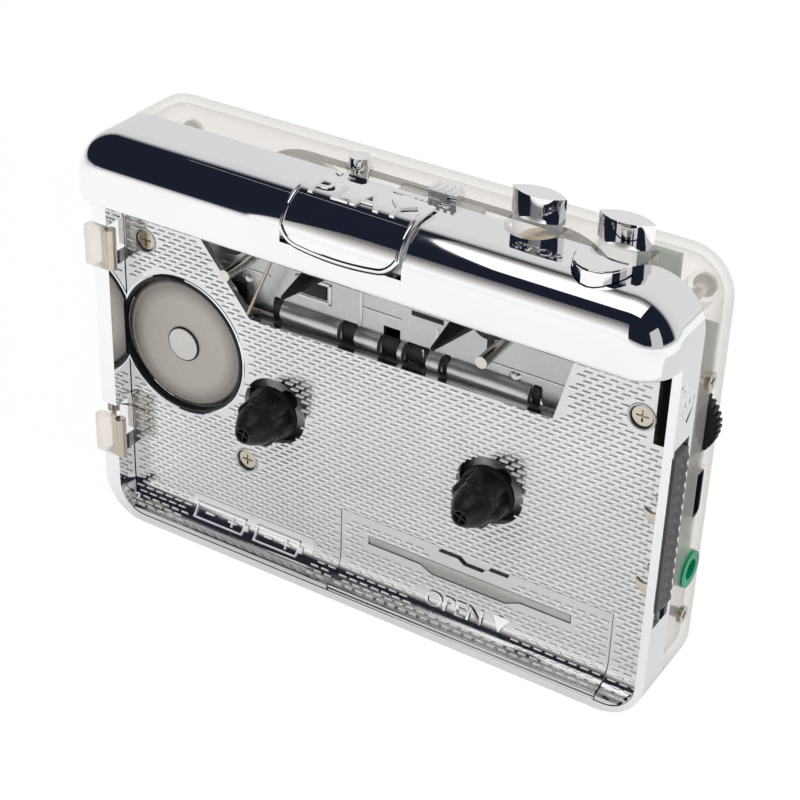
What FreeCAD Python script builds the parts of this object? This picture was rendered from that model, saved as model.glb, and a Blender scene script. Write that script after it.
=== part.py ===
import FreeCAD, Part
import Sketcher
import os

from FreeCAD import Placement, Rotation, Vector

# Portable cassette player, standing on its long edge: chrome front shell with an open cassette well,
# clear rear shell, clear hinged door, and the tape mechanism between them.
# Frame: +X to the right, +Y to the back, +Z up. The origin is on the base, midway between the two
# reels, in the plane of the well plate. Everything is in millimetres.

SIZES = [
    # case
    ("x_left", -56.0, "outer left side"),
    ("x_right", 53.7, "outer right side"),
    ("top_z", 78.8, "top of the case"),
    ("frame_y", -4.5, "front of the frame round the well"),
    ("seam_y", 2.5, "seam between front and rear shell"),
    ("back_y", 17.0, "back of the rear shell"),
    ("wall", 1.5, "wall of both shells"),
    ("low_corner", 8.0, "outer radius of the lower corners"),
    ("high_corner", 8.5, "outer radius of the upper corners"),
    ("back_edge", 5.0, "radius round the back of the rear shell"),
    # hood
    ("hood_y", -11.2, "front of the hood"),
    ("hood_z", 66.8, "underside of the hood"),
    ("hood_round", 6.5, "radius of the hood's top and end edges"),
    ("hood_lip", 1.6, "thickness of the hood's front wall"),
    # well
    ("well_left", -52.8, "inner left side of the well"),
    ("well_right", 52.2, "inner right side of the well"),
    ("plate_thick", 1.2, "thickness of the well plate"),
    ("fit", 0.15, "gap round a fitted part"),
    ("cove", 4.2, "radius where the plate turns forward at the bottom"),
    # reels and capstans
    ("reel_x", 21.25, "half the distance between the reels"),
    ("reel_z", 31.3, "height of the reels"),
    ("reel_tip", 9.5, "how far a reel spindle stands out of the plate"),
    ("reel_hole", 6.3, "radius of the plate's reel hole"),
    ("reel_shaft", 1.8, "radius of a reel's shaft"),
    ("run_fit", 0.06, "radial clearance of a turning shaft"),
    ("capstan_x", 23.8, "half the distance between the capstans"),
    ("capstan_z", 61.5, "height of the capstans"),
    ("capstan_r", 1.0, "radius of a capstan"),
    ("capstan_tip", 10.3, "how far a capstan stands out of the plate"),
    ("flywheel_r", 12.0, "radius of a flywheel"),
    # motor
    ("motor_x", -41.0, "motor axis across"),
    ("motor_z", 37.8, "motor axis height"),
    ("motor_r", 12.45, "radius of the motor can"),
    ("motor_end", 11.6, "back of the motor can"),
    ("pulley_r", 2.2, "radius of the motor pulley"),
    ("belt_y", 13.0, "front edge of the drive belt"),
    ("belt_wide", 1.2, "width of the belt"),
    ("belt_thick", 0.6, "thickness of the belt"),
    # sheet metal
    ("deck_y", 4.2, "front of the lower deck"),
    ("chassis_y", 3.0, "front of the upper chassis"),
    ("sheet_thick", 0.9, "sheet metal thickness"),
    ("window_z", 47.8, "bottom of the window in the plate"),
    # door
    ("hinge_x", -54.6, "door hinge axis across"),
    ("hinge_y", -3.1, "door hinge axis depth"),
    ("pin_r", 0.5, "radius of the door hinge pin"),
    ("knuckle_r", 1.35, "radius of a door knuckle"),
    ("door_left", -52.7, "left edge of the closed door"),
    ("door_right", 53.2, "right edge of the closed door"),
    ("door_front", -12.4, "front of the closed door"),
    ("door_back", -4.8, "back edge of the closed door"),
    ("door_high", 66.4, "top edge of the door"),
    ("door_wall", 1.2, "wall of the door"),
    # battery flap
    ("flap_left", -7.1, "left edge of the battery flap"),
    ("flap_right", 45.2, "right edge of the battery flap"),
    ("flap_high", 16.4, "top edge of the battery flap"),
    ("flap_low", 1.9, "bottom edge of the battery flap"),
    # buttons
    ("play_left", -12.1, "left edge of the play button"),
    ("play_right", 9.6, "right edge of the play button"),
    ("play_back", -1.2, "back edge of the play button"),
    ("play_low", 71.8, "lower edge of the play button"),
    ("play_skin", 1.0, "thickness of the play button"),
    ("play_proud", 0.3, "gap under the play button"),
    ("wind_left_x", 24.1, "left winding button across"),
    ("wind_right_x", 38.7, "right winding button across"),
    ("wind_y", 4.6, "winding buttons depth"),
    ("wind_high", 84.0, "top of the winding buttons"),
    ("stop_high", 80.7, "top of the stop button"),
    ("wheel_x", 49.2, "volume wheel axis across"),
    ("wheel_z", 51.3, "volume wheel axis height"),
    ("jack_y", 8.6, "headphone jack depth"),
    ("jack_z", 23.8, "headphone jack height"),
    ("usb_z", 38.3, "power socket height"),
]

doc = FreeCAD.newDocument("cassette_player")
sheet = doc.addObject("Spreadsheet::Sheet", "dims")
for row, (alias, number, note) in enumerate(SIZES, start=1):
    sheet.set(f"A{row}", note)
    sheet.set(f"B{row}", str(number))
    sheet.setAlias(f"B{row}", alias)
doc.recompute()


class Size:
    """A number, with the sheet expression that it comes from."""

    def __init__(self, text, number):
        self.text = text
        self.number = number

    def __add__(self, other):
        other = size(other)
        return Size(f"({self.text} + {other.text})", self.number + other.number)

    def __sub__(self, other):
        other = size(other)
        return Size(f"({self.text} - {other.text})", self.number - other.number)

    def __mul__(self, other):
        other = size(other)
        return Size(f"({self.text} * {other.text})", self.number * other.number)

    def __radd__(self, other):
        return size(other) + self

    def __rsub__(self, other):
        return size(other) - self

    def __rmul__(self, other):
        return size(other) * self

    def __neg__(self):
        return size(0) - self


def size(value):
    return value if isinstance(value, Size) else Size(f"{float(value):.6f}", float(value))


class Dims:
    """Every cell of the sheet, by its alias."""


d = Dims()
for alias, number, note in SIZES:
    setattr(d, alias, Size(f"dims.{alias}", float(sheet.get(alias))))


# --- solids bound to the sheet ------------------------------------------------------------------

TURNS = {
    "x": Rotation(Vector(0, 1, 0), 90),
    "y": Rotation(Vector(1, 0, 0), -90),
    "z": Rotation(),
}


def bind(thing, prop, value):
    thing.setExpression(prop, size(value).text)


def place(thing, point, turn=None):
    thing.Placement = Placement(Vector(), turn or Rotation())
    for letter, value in zip("xyz", point):
        bind(thing, f"Placement.Base.{letter}", value)
    return thing


def box(name, low, high):
    """A box between two corners."""
    solid = doc.addObject("Part::Box", name)
    for prop, start, end in zip(("Length", "Width", "Height"), low, high):
        bind(solid, prop, size(end) - start)
    return place(solid, low)


def rod(name, axis, start, radius, length):
    """A cylinder from the centre of its first end, along +X, +Y or +Z."""
    solid = doc.addObject("Part::Cylinder", name)
    bind(solid, "Radius", radius)
    bind(solid, "Height", length)
    return place(solid, start, TURNS[axis])


def taper(name, axis, start, radius, end_radius, length):
    """A cone from the centre of its first end."""
    solid = doc.addObject("Part::Cone", name)
    bind(solid, "Radius1", radius)
    bind(solid, "Radius2", end_radius)
    bind(solid, "Height", length)
    return place(solid, start, TURNS[axis])


def fuse(name, parts):
    joined = doc.addObject("Part::MultiFuse", name)
    joined.Shapes = parts
    return joined


def cut(name, base, tools):
    made = doc.addObject("Part::Cut", name)
    made.Base = base
    made.Tool = tools[0] if len(tools) == 1 else fuse(f"{name}_tools", tools)
    return made


def tube(name, axis, start, radius, bore, length):
    """A sleeve with a bore right through."""
    inner = rod(f"{name}_bore", axis, start, bore, length)
    return cut(name, rod(f"{name}_outer", axis, start, radius, length), [inner])


def group(name, parts):
    """Several separate solids that share one node."""
    gathered = doc.addObject("Part::Compound", name)
    gathered.Links = parts
    return gathered


def rounded(name, base, radius, wanted):
    """Fillets the edges of a primitive or boolean that wanted(edge) accepts."""
    doc.recompute()
    made = doc.addObject("Part::Fillet", name)
    made.Base = base
    edges = enumerate(base.Shape.Edges, start=1)
    made.Edges = [(number, radius, radius) for number, edge in edges if wanted(edge)]
    return made


# --- PartDesign bodies --------------------------------------------------------------------------

NORMALS = {"XY": 1, "XZ": -1, "YZ": 1}


def new_body(name):
    return doc.addObject("PartDesign::Body", name)


def origin_plane(body, plane):
    return next(f for f in body.Origin.OriginFeatures if f.Role == f"{plane}_Plane")


def new_sketch(body, plane, height, loops):
    """A sketch at a height along its plane's axis. A loop is a centre and radius, or a list of corners."""
    sketch = body.newObject("Sketcher::SketchObject", f"{body.Name}_sketch")
    sketch.AttachmentSupport = [(origin_plane(body, plane), "")]
    sketch.MapMode = "FlatFace"
    bind(sketch, "AttachmentOffset.Base.z", size(height) * NORMALS[plane])
    for loop in loops:
        if isinstance(loop, tuple):
            add_circle(sketch, *loop)
        else:
            add_outline(sketch, loop)
    return sketch


def hold(sketch, kind, *where):
    """Adds a dimension and binds it to its expression."""
    *where, value = where
    number = sketch.addConstraint(Sketcher.Constraint(kind, *where, size(value).number))
    bind(sketch, f"Constraints[{number}]", value)


def add_circle(sketch, across, up, radius):
    across, up, radius = size(across), size(up), size(radius)
    centre = Vector(across.number, up.number, 0)
    number = sketch.addGeometry(Part.Circle(centre, Vector(0, 0, 1), radius.number), False)
    hold(sketch, "Radius", number, radius)
    hold(sketch, "DistanceX", -1, 1, number, 3, across)
    hold(sketch, "DistanceY", -1, 1, number, 3, up)


def add_outline(sketch, corners):
    corners = [(size(across), size(up)) for across, up in corners]
    points = [Vector(across.number, up.number, 0) for across, up in corners]
    ends = points[1:] + points[:1]
    lines = [Part.LineSegment(start, end) for start, end in zip(points, ends)]
    numbers = sketch.addGeometry(lines, False)
    for this, following in zip(numbers, numbers[1:] + numbers[:1]):
        sketch.addConstraint(Sketcher.Constraint("Coincident", this, 2, following, 1))
    for number, (across, up) in zip(numbers, corners):
        hold(sketch, "DistanceX", -1, 1, number, 1, across)
        hold(sketch, "DistanceY", -1, 1, number, 1, up)


def corners(low, high):
    """The four corners of a rectangle."""
    return [low, (high[0], low[1]), high, (low[0], high[1])]


def pad(body, plane, low, high, *loops):
    """Adds the loops as a block between two heights along the plane's axis."""
    start = high if NORMALS[plane] < 0 else low
    feature = body.newObject("PartDesign::Pad", f"{body.Name}_pad")
    feature.Profile = new_sketch(body, plane, start, loops)
    bind(feature, "Length", size(high) - low)
    doc.recompute()
    return feature


def pocket(body, plane, low, high, *loops):
    """Cuts the loops away between two heights along the plane's axis."""
    before = body.Shape.Volume
    start = low if NORMALS[plane] < 0 else high
    feature = body.newObject("PartDesign::Pocket", f"{body.Name}_pocket")
    feature.Profile = new_sketch(body, plane, start, loops)
    bind(feature, "Length", size(high) - low)
    doc.recompute()
    if body.Shape.Volume >= before:
        raise RuntimeError(f"{feature.Label} cuts nothing")
    return feature


def soften(body, radius, wanted):
    """Fillets the edges of the body so far that wanted(edge) accepts."""
    base = body.Tip
    names = [f"Edge{n}" for n, edge in enumerate(base.Shape.Edges, start=1) if wanted(edge)]
    feature = body.newObject("PartDesign::Fillet", f"{body.Name}_fillet")
    feature.Base = (base, names)
    bind(feature, "Radius", radius)
    doc.recompute()
    return feature


# --- choosing edges -----------------------------------------------------------------------------


def near(one, other, within=0.02):
    return abs(one - other) < within


def spans(edge):
    bounds = edge.BoundBox
    return bounds.XLength, bounds.YLength, bounds.ZLength


def along(edge, axis):
    """True for a straight edge along one axis."""
    lengths = spans(edge)
    number = "xyz".index(axis)
    others = [length for place, length in enumerate(lengths) if place != number]
    return lengths[number] > 0.1 and max(others) < 0.01


def centre(edge):
    return edge.BoundBox.Center


def at_depth(edge, depth):
    bounds = edge.BoundBox
    return near(bounds.YMin, depth) and near(bounds.YMax, depth)


# --- case ---------------------------------------------------------------------------------------


HINGE_GAPS = [(12.8, 23.4), (51.1, 59.4)]  # heights left open in the case for the door's knuckles
KNUCKLES = [(13.0, 21.0), (51.3, 59.2)]
WELL_CORNER = 5.3  # rounding of the well's lower corners
CORNER_CUT = 3.2
PLATE_SCREWS = [(-48.2, 56.2), (46.3, 54.6), (-27.3, 18.9)]  # (x, z)
SIDE_SCREWS = [(6.3, 60.5), (7.5, 15.4)]  # (y, z)
REAR_SCREWS = [(-49.5, 21.3), (32.6, 21.6), (-49.5, 70.5), (47.6, 70.5)]  # (x, z)
PLAY_SHELF = 67.8  # height of the shelf under the play button's spring
SPRING_SHELF = 68.1  # height of the shelf under the winding buttons' springs
PINCH_PIVOT = (31.2, 70.6)  # (x, z) of the right pinch arm's pivot
PINCH_LIFT = 2.2  # gap between pinch roller and capstan at rest
HOOKS = (24.6, 38.0)  # heights of the latch hooks
HOOK_TALL = 2.4
CATCH_LIFT = 1.4  # each door catch above its hook's lower edge
KNOB_AT = (-8.3, 5.4)  # (x, y) of the direction button


def front_shell():
    body = new_body("front_shell")
    outline = corners((d.x_left, 0), (d.x_right, d.top_z))
    pad(body, "XZ", d.frame_y, d.seam_y, outline)
    hood = corners((d.x_left, d.hood_z), (d.x_right, d.top_z))
    pad(body, "XZ", d.hood_y, d.frame_y, hood)
    soften(body, d.low_corner, lambda e: along(e, "y") and centre(e).z < 1)
    soften(body, d.high_corner, lambda e: along(e, "y") and near(centre(e).z, d.top_z.number))
    soften(body, d.hood_round, lambda e: at_depth(e, d.hood_y.number) and not near(
        centre(e).z, d.hood_z.number))
    soften(body, 1.2, lambda e: near(e.BoundBox.ZMax, d.hood_z.number)
           and near(e.BoundBox.ZMin, d.hood_z.number) and centre(e).y < d.frame_y.number - 0.5)
    # the well, right through to the seam, and the hollow of the hood
    well = tray_outline((d.well_left, d.wall), (d.well_right, d.hood_z))
    pocket(body, "XZ", d.frame_y - 1, d.seam_y, well)
    soften(body, WELL_CORNER, lambda e: in_low_corner(e, d.well_left, d.well_right, d.wall))
    pocket(body, "XY", d.hood_z - 1, d.hood_z + 6,
           corners((-37, d.hood_y + d.hood_lip), (37, d.seam_y)))
    pocket(body, "XY", d.hood_z + 1.6, d.hood_z + 6,
           corners((-51, d.hood_y + d.hood_lip), (48.7, d.seam_y)))
    pocket(body, "XY", d.hood_z + 5, d.top_z - 1.4, corners((-50.4, -6.2), (48.1, d.seam_y)))
    # openings for the play and stop buttons
    pocket(body, "XY", d.play_low - 0.3, d.top_z + 1, corners(
        (d.play_left - 0.25, d.hood_y - 1), (d.play_right + 0.25, d.play_back + 0.25)))
    pocket(body, "XY", d.hood_z + 3, d.top_z + 1, stop_outline(0.25))
    # slot for the opening slider, and room for the door's knuckles and pin
    pocket(body, "YZ", d.well_right - 0.5, d.x_right + 1, corners((-3.9, 19.6), (1.3, 53.2)))
    for low, high in HINGE_GAPS:
        pocket(body, "XY", low, high, corners((d.x_left - 1, d.frame_y - 1), (d.well_left + 0.5, 0)))
    pocket(body, "XY", 3.5, d.hood_z + 1, (d.hinge_x, d.hinge_y, d.pin_r))
    # relief for the motor can, and a shelf under the play button's spring
    pocket(body, "XZ", -1, d.seam_y, (d.motor_x, d.motor_z, d.motor_r + 0.6))
    pad(body, "XY", PLAY_SHELF - 0.8, PLAY_SHELF, corners((-11.1, d.hood_y + 1), (-7.4, -1.6)))
    scoops = []
    for across in (d.wind_left_x, d.wind_right_x):
        scoop = doc.addObject("Part::Sphere", "finger_scoop")
        bind(scoop, "Radius", 6.9)
        scoops.append(place(scoop, (across, 3.4, d.top_z + 5.2)))
    return cut("front_shell_scooped", body, scoops)


def tray_outline(low, high):
    """A rectangle whose two lower corners are cut off, ready to be rounded."""
    (left, bottom), (right, top) = low, high
    return [(left + CORNER_CUT, bottom), (right - CORNER_CUT, bottom), (right, bottom + CORNER_CUT),
            (right, top), (left, top), (left, bottom + CORNER_CUT)]


def in_low_corner(edge, left, right, bottom):
    """True for the depth-wise edges that tray_outline leaves at its two lower corners."""
    middle = centre(edge)
    beside = middle.x < left.number + CORNER_CUT + 0.1 or middle.x > right.number - CORNER_CUT - 0.1
    return along(edge, "y") and beside and middle.z < bottom.number + CORNER_CUT + 0.1


def stop_outline(grow):
    """A D with its flat side to the back, as a many-sided outline of short steps of an arc."""
    half = 4.45 + grow
    back = -2.2 + grow
    deep = 5.4 + 2 * grow
    steps = 12
    points = []
    for step in range(steps + 1):
        arm = Rotation(Vector(0, 0, 1), 180.0 * step / steps).multVec(Vector(1, 0, 0))
        points.append((d.wind_right_x + half * arm.x, back - deep * arm.y))
    return points


def well_plate():
    body = new_body("well_plate_body")
    low = (d.well_left + d.fit, d.wall + d.fit)
    high = (d.well_right - d.fit, d.hood_z - d.fit)
    pad(body, "XZ", 0, d.plate_thick, corners(low, high))
    pad(body, "XZ", d.frame_y + 0.1, 0, corners(low, (high[0], d.wall + 1.0)))
    soften(body, d.cove, lambda e: along(e, "x") and near(centre(e).y, 0) and near(
        centre(e).z, d.wall.number + 1.0))
    flap = corners((d.flap_left - 0.2, d.wall - 1), (d.flap_right + 0.2, d.flap_high + d.fit))
    pocket(body, "XZ", d.frame_y - 1, d.plate_thick + 1, flap)
    window = [(-26.3, d.window_z), (31.5, d.window_z + 1.1), (34.3, 60), (34.3, d.hood_z + 1),
              (-36.2, d.hood_z + 1), (-36.2, 60)]
    pocket(body, "XZ", -1, 2, window)
    pocket(body, "XZ", -1, 2, (d.motor_x, d.motor_z, d.motor_r + 0.6))
    holes = [(side * d.reel_x, d.reel_z, d.reel_hole) for side in (-1, 1)]
    pocket(body, "XZ", -1, 2, *holes)
    pocket(body, "XZ", -1, 2, *[(x, z, 1.05) for x, z in PLATE_SCREWS])
    pocket(body, "XZ", -1, 0.9, *[(x, z, 2.05) for x, z in PLATE_SCREWS])
    pocket(body, "XZ", -1, 2, corners((48.6, 50.6), (d.well_right, 63)))
    trim = new_body("well_plate_trim")
    pad(trim, "XZ", d.frame_y - 1, d.plate_thick, tray_outline(low, high))
    soften(trim, WELL_CORNER - 0.1, lambda e: in_low_corner(e, low[0], high[0], low[1]))
    plate = doc.addObject("Part::MultiCommon", "well_plate")
    plate.Shapes = [body, trim]
    return plate


def rear_shell():
    body = new_body("rear_shell")
    pad(body, "XZ", d.seam_y, d.back_y, corners((d.x_left, 0), (d.x_right, d.top_z)))
    soften(body, d.low_corner, lambda e: along(e, "y") and centre(e).z < 1)
    soften(body, d.high_corner, lambda e: along(e, "y") and near(centre(e).z, d.top_z.number))
    soften(body, d.back_edge, lambda e: at_depth(e, d.back_y.number))
    base = body.Tip
    face = next(f"Face{n}" for n, f in enumerate(base.Shape.Faces, start=1) if near(
        f.BoundBox.YMax, d.seam_y.number))
    shell = body.newObject("PartDesign::Thickness", "rear_shell_hollow")
    shell.Base = (base, [face])
    shell.Join = 0
    shell.Reversed = True
    bind(shell, "Value", d.wall)
    doc.recompute()
    top = (d.top_z - 3, d.top_z + 1)
    for across in (d.wind_left_x, d.wind_right_x):
        pocket(body, "XY", *top, corners((across - 4.7, d.seam_y - 1), (across + 4.7, d.wind_y + 2.3)))
    pocket(body, "XY", *top, (*KNOB_AT, 2.15))
    pocket(body, "XY", *top, corners((0.2, 3.5), (10.8, 4.8)))
    side = (d.x_right - 3, d.x_right + 1)
    pocket(body, "YZ", *side, (d.jack_y, d.jack_z, 3.3))
    pocket(body, "YZ", *side, corners((7.15, d.usb_z - 4.5), (10.45, d.usb_z + 4.5)))
    pocket(body, "YZ", *side, corners((7.4, d.wheel_z - 6), (10.2, d.wheel_z + 6)))
    pocket(body, "YZ", *side, *[(y, z, 0.9) for y, z in SIDE_SCREWS])
    pad(body, "XZ", 5.4, d.back_y - 1.2, *[(x, z, 2.7) for x, z in REAR_SCREWS])
    pocket(body, "XZ", 5, d.back_y + 1, *[(x, z, 1.1) for x, z in REAR_SCREWS])
    pocket(body, "XZ", d.back_y - 1.2, d.back_y + 1, *[(x, z, 2.1) for x, z in REAR_SCREWS])
    return body


# --- motor and drive ----------------------------------------------------------------------------


def motor():
    can = rod("motor_blank", "y", (d.motor_x, 0.7, d.motor_z), d.motor_r, d.motor_end - 0.7)
    case = rounded("motor_case", can, 0.9, lambda e: at_depth(e, 0.7) and spans(e)[0] > 5)
    can = cut("motor_can", case, [
        rod("rotor_room", "y", (d.motor_x, 1.8, d.motor_z), d.motor_r - 1.2, d.motor_end - 2.8),
        rod("shaft_hole", "y", (d.motor_x, 5, d.motor_z), size(1.0) + d.run_fit, 10),
    ])
    boss = rod("motor_boss", "y", (d.motor_x, 0.35, d.motor_z), 3.0, 0.35)
    clear = rod("bracket_clear", "y", (d.motor_x, 1.0, d.motor_z), d.motor_r + 0.1, 6)
    plate = box("bracket_plate", (d.well_left + 0.4, 1.5, 27.5), (-29.5, 2.4, 48.1))
    bracket = cut("motor_bracket", plate, [clear])
    pulley = rod("pulley_wheel", "y", (d.motor_x, d.belt_y - 0.7, d.motor_z), d.pulley_r, 2.3)
    flanges = [
        rod("pulley_flange", "y", (d.motor_x, start, d.motor_z), d.pulley_r + 0.8, 0.4)
        for start in (d.belt_y - 0.7, d.belt_y + d.belt_wide + 0.2)
    ]
    rotor = rod("motor_rotor", "y", (d.motor_x, 2.3, d.motor_z), 9.2, 7.6)
    shaft = rod("motor_shaft", "y", (d.motor_x, 9.0, d.motor_z), 1.0, d.belt_y - 8.5)
    return can, boss, bracket, fuse("motor_pulley", [rotor, shaft, pulley, *flanges])


def drive_belt():
    """A flat belt in tangent runs and arcs round the pulley and both flywheels."""
    wheels = [
        (Vector(d.motor_x.number, 0, d.motor_z.number), d.pulley_r.number),
        (Vector(d.capstan_x.number, 0, d.capstan_z.number), d.flywheel_r.number),
        (Vector(-d.capstan_x.number, 0, d.capstan_z.number), d.flywheel_r.number),
    ]
    slack = 0.05
    faces = [belt_face(wheels, gap) for gap in (slack + d.belt_thick.number, slack)]
    ring = faces[0].cut(faces[1]).extrude(Vector(0, d.belt_wide.number, 0))
    belt = doc.addObject("Part::Feature", "drive_belt")
    belt.Shape = ring
    belt.Placement = Placement(Vector(0, d.belt_y.number, 0), Rotation())
    return belt


def belt_face(wheels, gap):
    """The area inside a taut loop, gap outside three wheels given in turn round the loop."""
    tangents = []
    for (here, this), (there, following) in zip(wheels, wheels[1:] + wheels[:1]):
        run = there - here
        across = Vector(run).normalize()
        square = Vector(across.z, 0, -across.x)
        lean = (this - following) / run.Length
        level = (1 - lean * lean) ** 0.5
        side = across * lean + square * level
        tangents.append((here + side * (this + gap), there + side * (following + gap), side))
    edges = []
    for number, (start, end, side) in enumerate(tangents):
        edges.append(Part.LineSegment(start, end).toShape())
        next_start, _, next_side = tangents[(number + 1) % len(tangents)]
        hub, radius = wheels[(number + 1) % len(wheels)]
        outward = side + next_side
        middle = hub + outward.normalize() * (radius + gap)
        edges.append(Part.Arc(end, middle, next_start).toShape())
    return Part.Face(Part.Wire(edges))


def capstans():
    parts = {}
    for side, word in ((-1, "left"), (1, "right")):
        across = side * d.capstan_x
        shaft = rod(f"capstan_{word}", "y", (across, -d.capstan_tip, d.capstan_z), d.capstan_r,
                    d.capstan_tip + 10.4)
        wheel = rod(f"flywheel_{word}_disc", "y", (across, 10.4, d.capstan_z), d.flywheel_r, 4.0)
        dish = tube(f"flywheel_{word}_dish", "y", (across, 13.2, d.capstan_z), 9.6, 3.2, 1.2)
        parts[word] = (shaft, cut(f"flywheel_{word}", wheel, [dish]))
    bushes = group("capstan_bushes", [
        tube(f"capstan_bush_{word}", "y", (side * d.capstan_x, 1.9, d.capstan_z), 2.3,
             d.capstan_r + d.run_fit, 5.0)
        for side, word in ((-1, "left"), (1, "right"))
    ])
    return parts, bushes


def reels():
    parts = {}
    for side, word in ((-1, "left"), (1, "right")):
        across = side * d.reel_x
        shaft = rod("reel_shaft", "y", (across, -1.0, d.reel_z), d.reel_shaft, 8.2)
        flange = rod("reel_flange", "y", (across, -1.2, d.reel_z), 4.9, 1.0)
        barrel = taper("reel_barrel", "y", (across, -6.3, d.reel_z), 3.45, 3.75, 5.3)
        nose = taper("reel_nose", "y", (across, -d.reel_tip, d.reel_z), 1.6, 3.45, 3.2)
        solids = [shaft, flange, barrel, nose]
        for step in range(6):
            reach = Rotation(Vector(0, 1, 0), 60 * step + 15).multVec(Vector(3.45, 0, 0))
            solids.append(rod("reel_lobe", "y", (across + reach.x, -5.0, d.reel_z + reach.z), 1.3, 4.4))
        whole = fuse(f"reel_{word}_whole", solids)
        socket = rod("reel_socket", "y", (across, -d.reel_tip - 1, d.reel_z), 1.15, 1.5)
        spindle = cut(f"reel_spindle_{word}", whole, [socket])
        disc = tube(f"reel_gear_{word}", "y", (across, 7.2, d.reel_z), 7.5, 1.0, 1.8)
        hub = rod("reel_hub", "y", (across, 7.2, d.reel_z), 1.0, 2.6)
        parts[word] = (spindle, fuse(f"reel_turntable_{word}", [disc, hub]))
    return parts


# --- sheet metal and heads ----------------------------------------------------------------------


def chassis_plate():
    body = new_body("chassis_plate")
    front = d.chassis_y
    back = d.chassis_y + d.sheet_thick
    roll = 3.0
    pad(body, "XZ", front, back, corners((-37.5, 47), (35.5, 67.9)))
    pad(body, "XZ", front, front + 6, corners((-37.5, 47), (35.5, 47 + d.sheet_thick)))
    soften(body, roll, lambda e: along(e, "x") and near(centre(e).y, front.number)
           and near(centre(e).z, 47))
    soften(body, roll - d.sheet_thick.number, lambda e: along(e, "x") and near(
        centre(e).y, back.number) and near(centre(e).z, 47 + d.sheet_thick.number))
    slots = [((-23.2, 46), (-21.4, 51.4)), ((-9.4, 46), (-6.6, 51.6)), ((-1.6, 46), (1.6, 53.4)),
             ((3.0, 46), (7.2, 51.4)), ((10.0, 46), (11.2, 51.4)), ((26.4, 46), (27.9, 49.6)),
             ((-18.2, 54.3), (-12.6, 56.9)), ((-36.9, 49.6), (-28.9, 52.4)),
             ((3.6, 57.0), (9.6, 57.9)), ((17.6, 54.6), (19.0, 57.4)), ((-9.3, 58.4), (-8.4, 60.8)),
             ((-33.0, 64.4), (-20.6, 66.2)), ((28.5, 60.6), (34.0, 61.6))]
    pocket(body, "XZ", 2, 12, *[corners(low, high) for low, high in slots])
    holes = [(side * d.capstan_x, d.capstan_z, 2.3) for side in (-1, 1)]
    pocket(body, "XZ", 2, 12, *holes)
    pocket(body, "XZ", 2, 12, (d.motor_x, d.motor_z, d.motor_r + 0.6))
    ears = [corners((-34.4, 67.4), (-28.4, 73.4)), corners((29.0, 67.4), (33.9, 73.4))]
    pad(body, "XZ", front, back, *ears)
    return body


def deck_plate():
    blank = box("deck_blank", (-33, d.deck_y, 18.6), (37.2, d.deck_y + d.sheet_thick, 46.4))
    holes = [
        rod("deck_hole", "y", (side * d.reel_x, 3, d.reel_z), d.reel_shaft + d.run_fit, 4)
        for side in (-1, 1)
    ]
    motor_room = rod("deck_motor_room", "y", (d.motor_x, 3, d.motor_z), d.motor_r + 0.4, 4)
    return cut("deck_plate", blank, [*holes, motor_room])


def locating_blades():
    """Two black blades that a cassette's body slides over, tapering to a rounded tip."""
    blades = []
    for side, low, high, tip in ((-1, -18.0, -11.6, -13.7), (1, 9.2, 15.6, 13.6)):
        body = new_body(f"locating_blade_{'left' if side < 0 else 'right'}")
        outline = [(low, 3.0), (tip - 1.0, -7.6), (tip - 0.2, -8.5), (tip + 0.5, -8.3), (high, 0.4),
                   (high, 3.0)]
        pad(body, "XY", 58.9, 60.6, outline)
        blades.append(body)
    return group("locating_blades", blades)


def head_unit():
    plate = box("head_plate", (-15.5, 1.5, 62.6), (15.5, 2.4, 74.6))
    slot = box("head_slot", (-1.5, 1, 64), (1.5, 3, 68))
    wings = [
        box("head_wing", (low, -3.2, 70.4), (low + 2.2, 1.5, 71.3)) for low in (-13.6, 11.4)
    ]
    blade_room = [
        box("blade_room", (low, 1, 62), (low + 7.4, 3, 64.7)) for low in (-18.6, 8.8)
    ]
    bracket = cut("head_bracket", fuse("head_bracket_whole", [plate, *wings]), [slot, *blade_room])
    case = box("head_case", (-6.2, -7.4, 68.6), (6.2, 1.5, 74.2))
    head = rounded("tape_head", case, 1.8, lambda e: along(e, "y") and centre(e).z < 69)
    return bracket, head


def pinch_units():
    parts = {}
    for side, word in ((-1, "left"), (1, "right")):
        across = side * d.capstan_x
        height = d.capstan_z + d.capstan_r + 3.3 + PINCH_LIFT
        pivot = (side * PINCH_PIVOT[0], PINCH_PIVOT[1])
        roller = tube(f"pinch_roller_{word}", "y", (across, -8.6, height), 3.3,
                      size(0.9) + d.run_fit, 5.0)
        axle = rod("pinch_axle", "y", (across, -9.0, height), 0.9, 7.2)
        low, high = sorted((side * 24.9, side * PINCH_PIVOT[0]))
        bar = box("pinch_bar", (low, -2.9, 67.2), (high, -1.9, 71.4))
        ends = [
            rod("pinch_end", "y", (across, -2.9, height), 2.6, 1.0),
            rod("pinch_boss", "y", (pivot[0], -2.9, pivot[1]), 2.3, 1.0),
        ]
        hole = rod("pinch_hole", "y", (pivot[0], -4, pivot[1]), size(1.2) + d.run_fit, 4)
        arm = cut(f"pinch_arm_{word}", fuse(f"pinch_arm_{word}_whole", [bar, *ends, axle]), [hole])
        parts[word] = (arm, roller)
    return parts


def chassis_posts():
    """Standing posts: the pinch arms' pivots, and pillars from the chassis to the deck."""
    posts = [
        rod("pivot_post", "y", (side * PINCH_PIVOT[0], -3.3, PINCH_PIVOT[1]), 1.2, 6.3)
        for side in (-1, 1)
    ]
    posts += [
        rod("pillar", "y", (x, d.plate_thick, z), 1.4, size(d.deck_y) - d.plate_thick)
        for x, z in ((-8, 22), (8, 22), (33, 43))
    ]
    posts.append(box("spring_shelf", (19.6, 3.95, SPRING_SHELF - 1.1), (43.2, 7.4, SPRING_SHELF)))
    return group("chassis_posts", posts)


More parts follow.
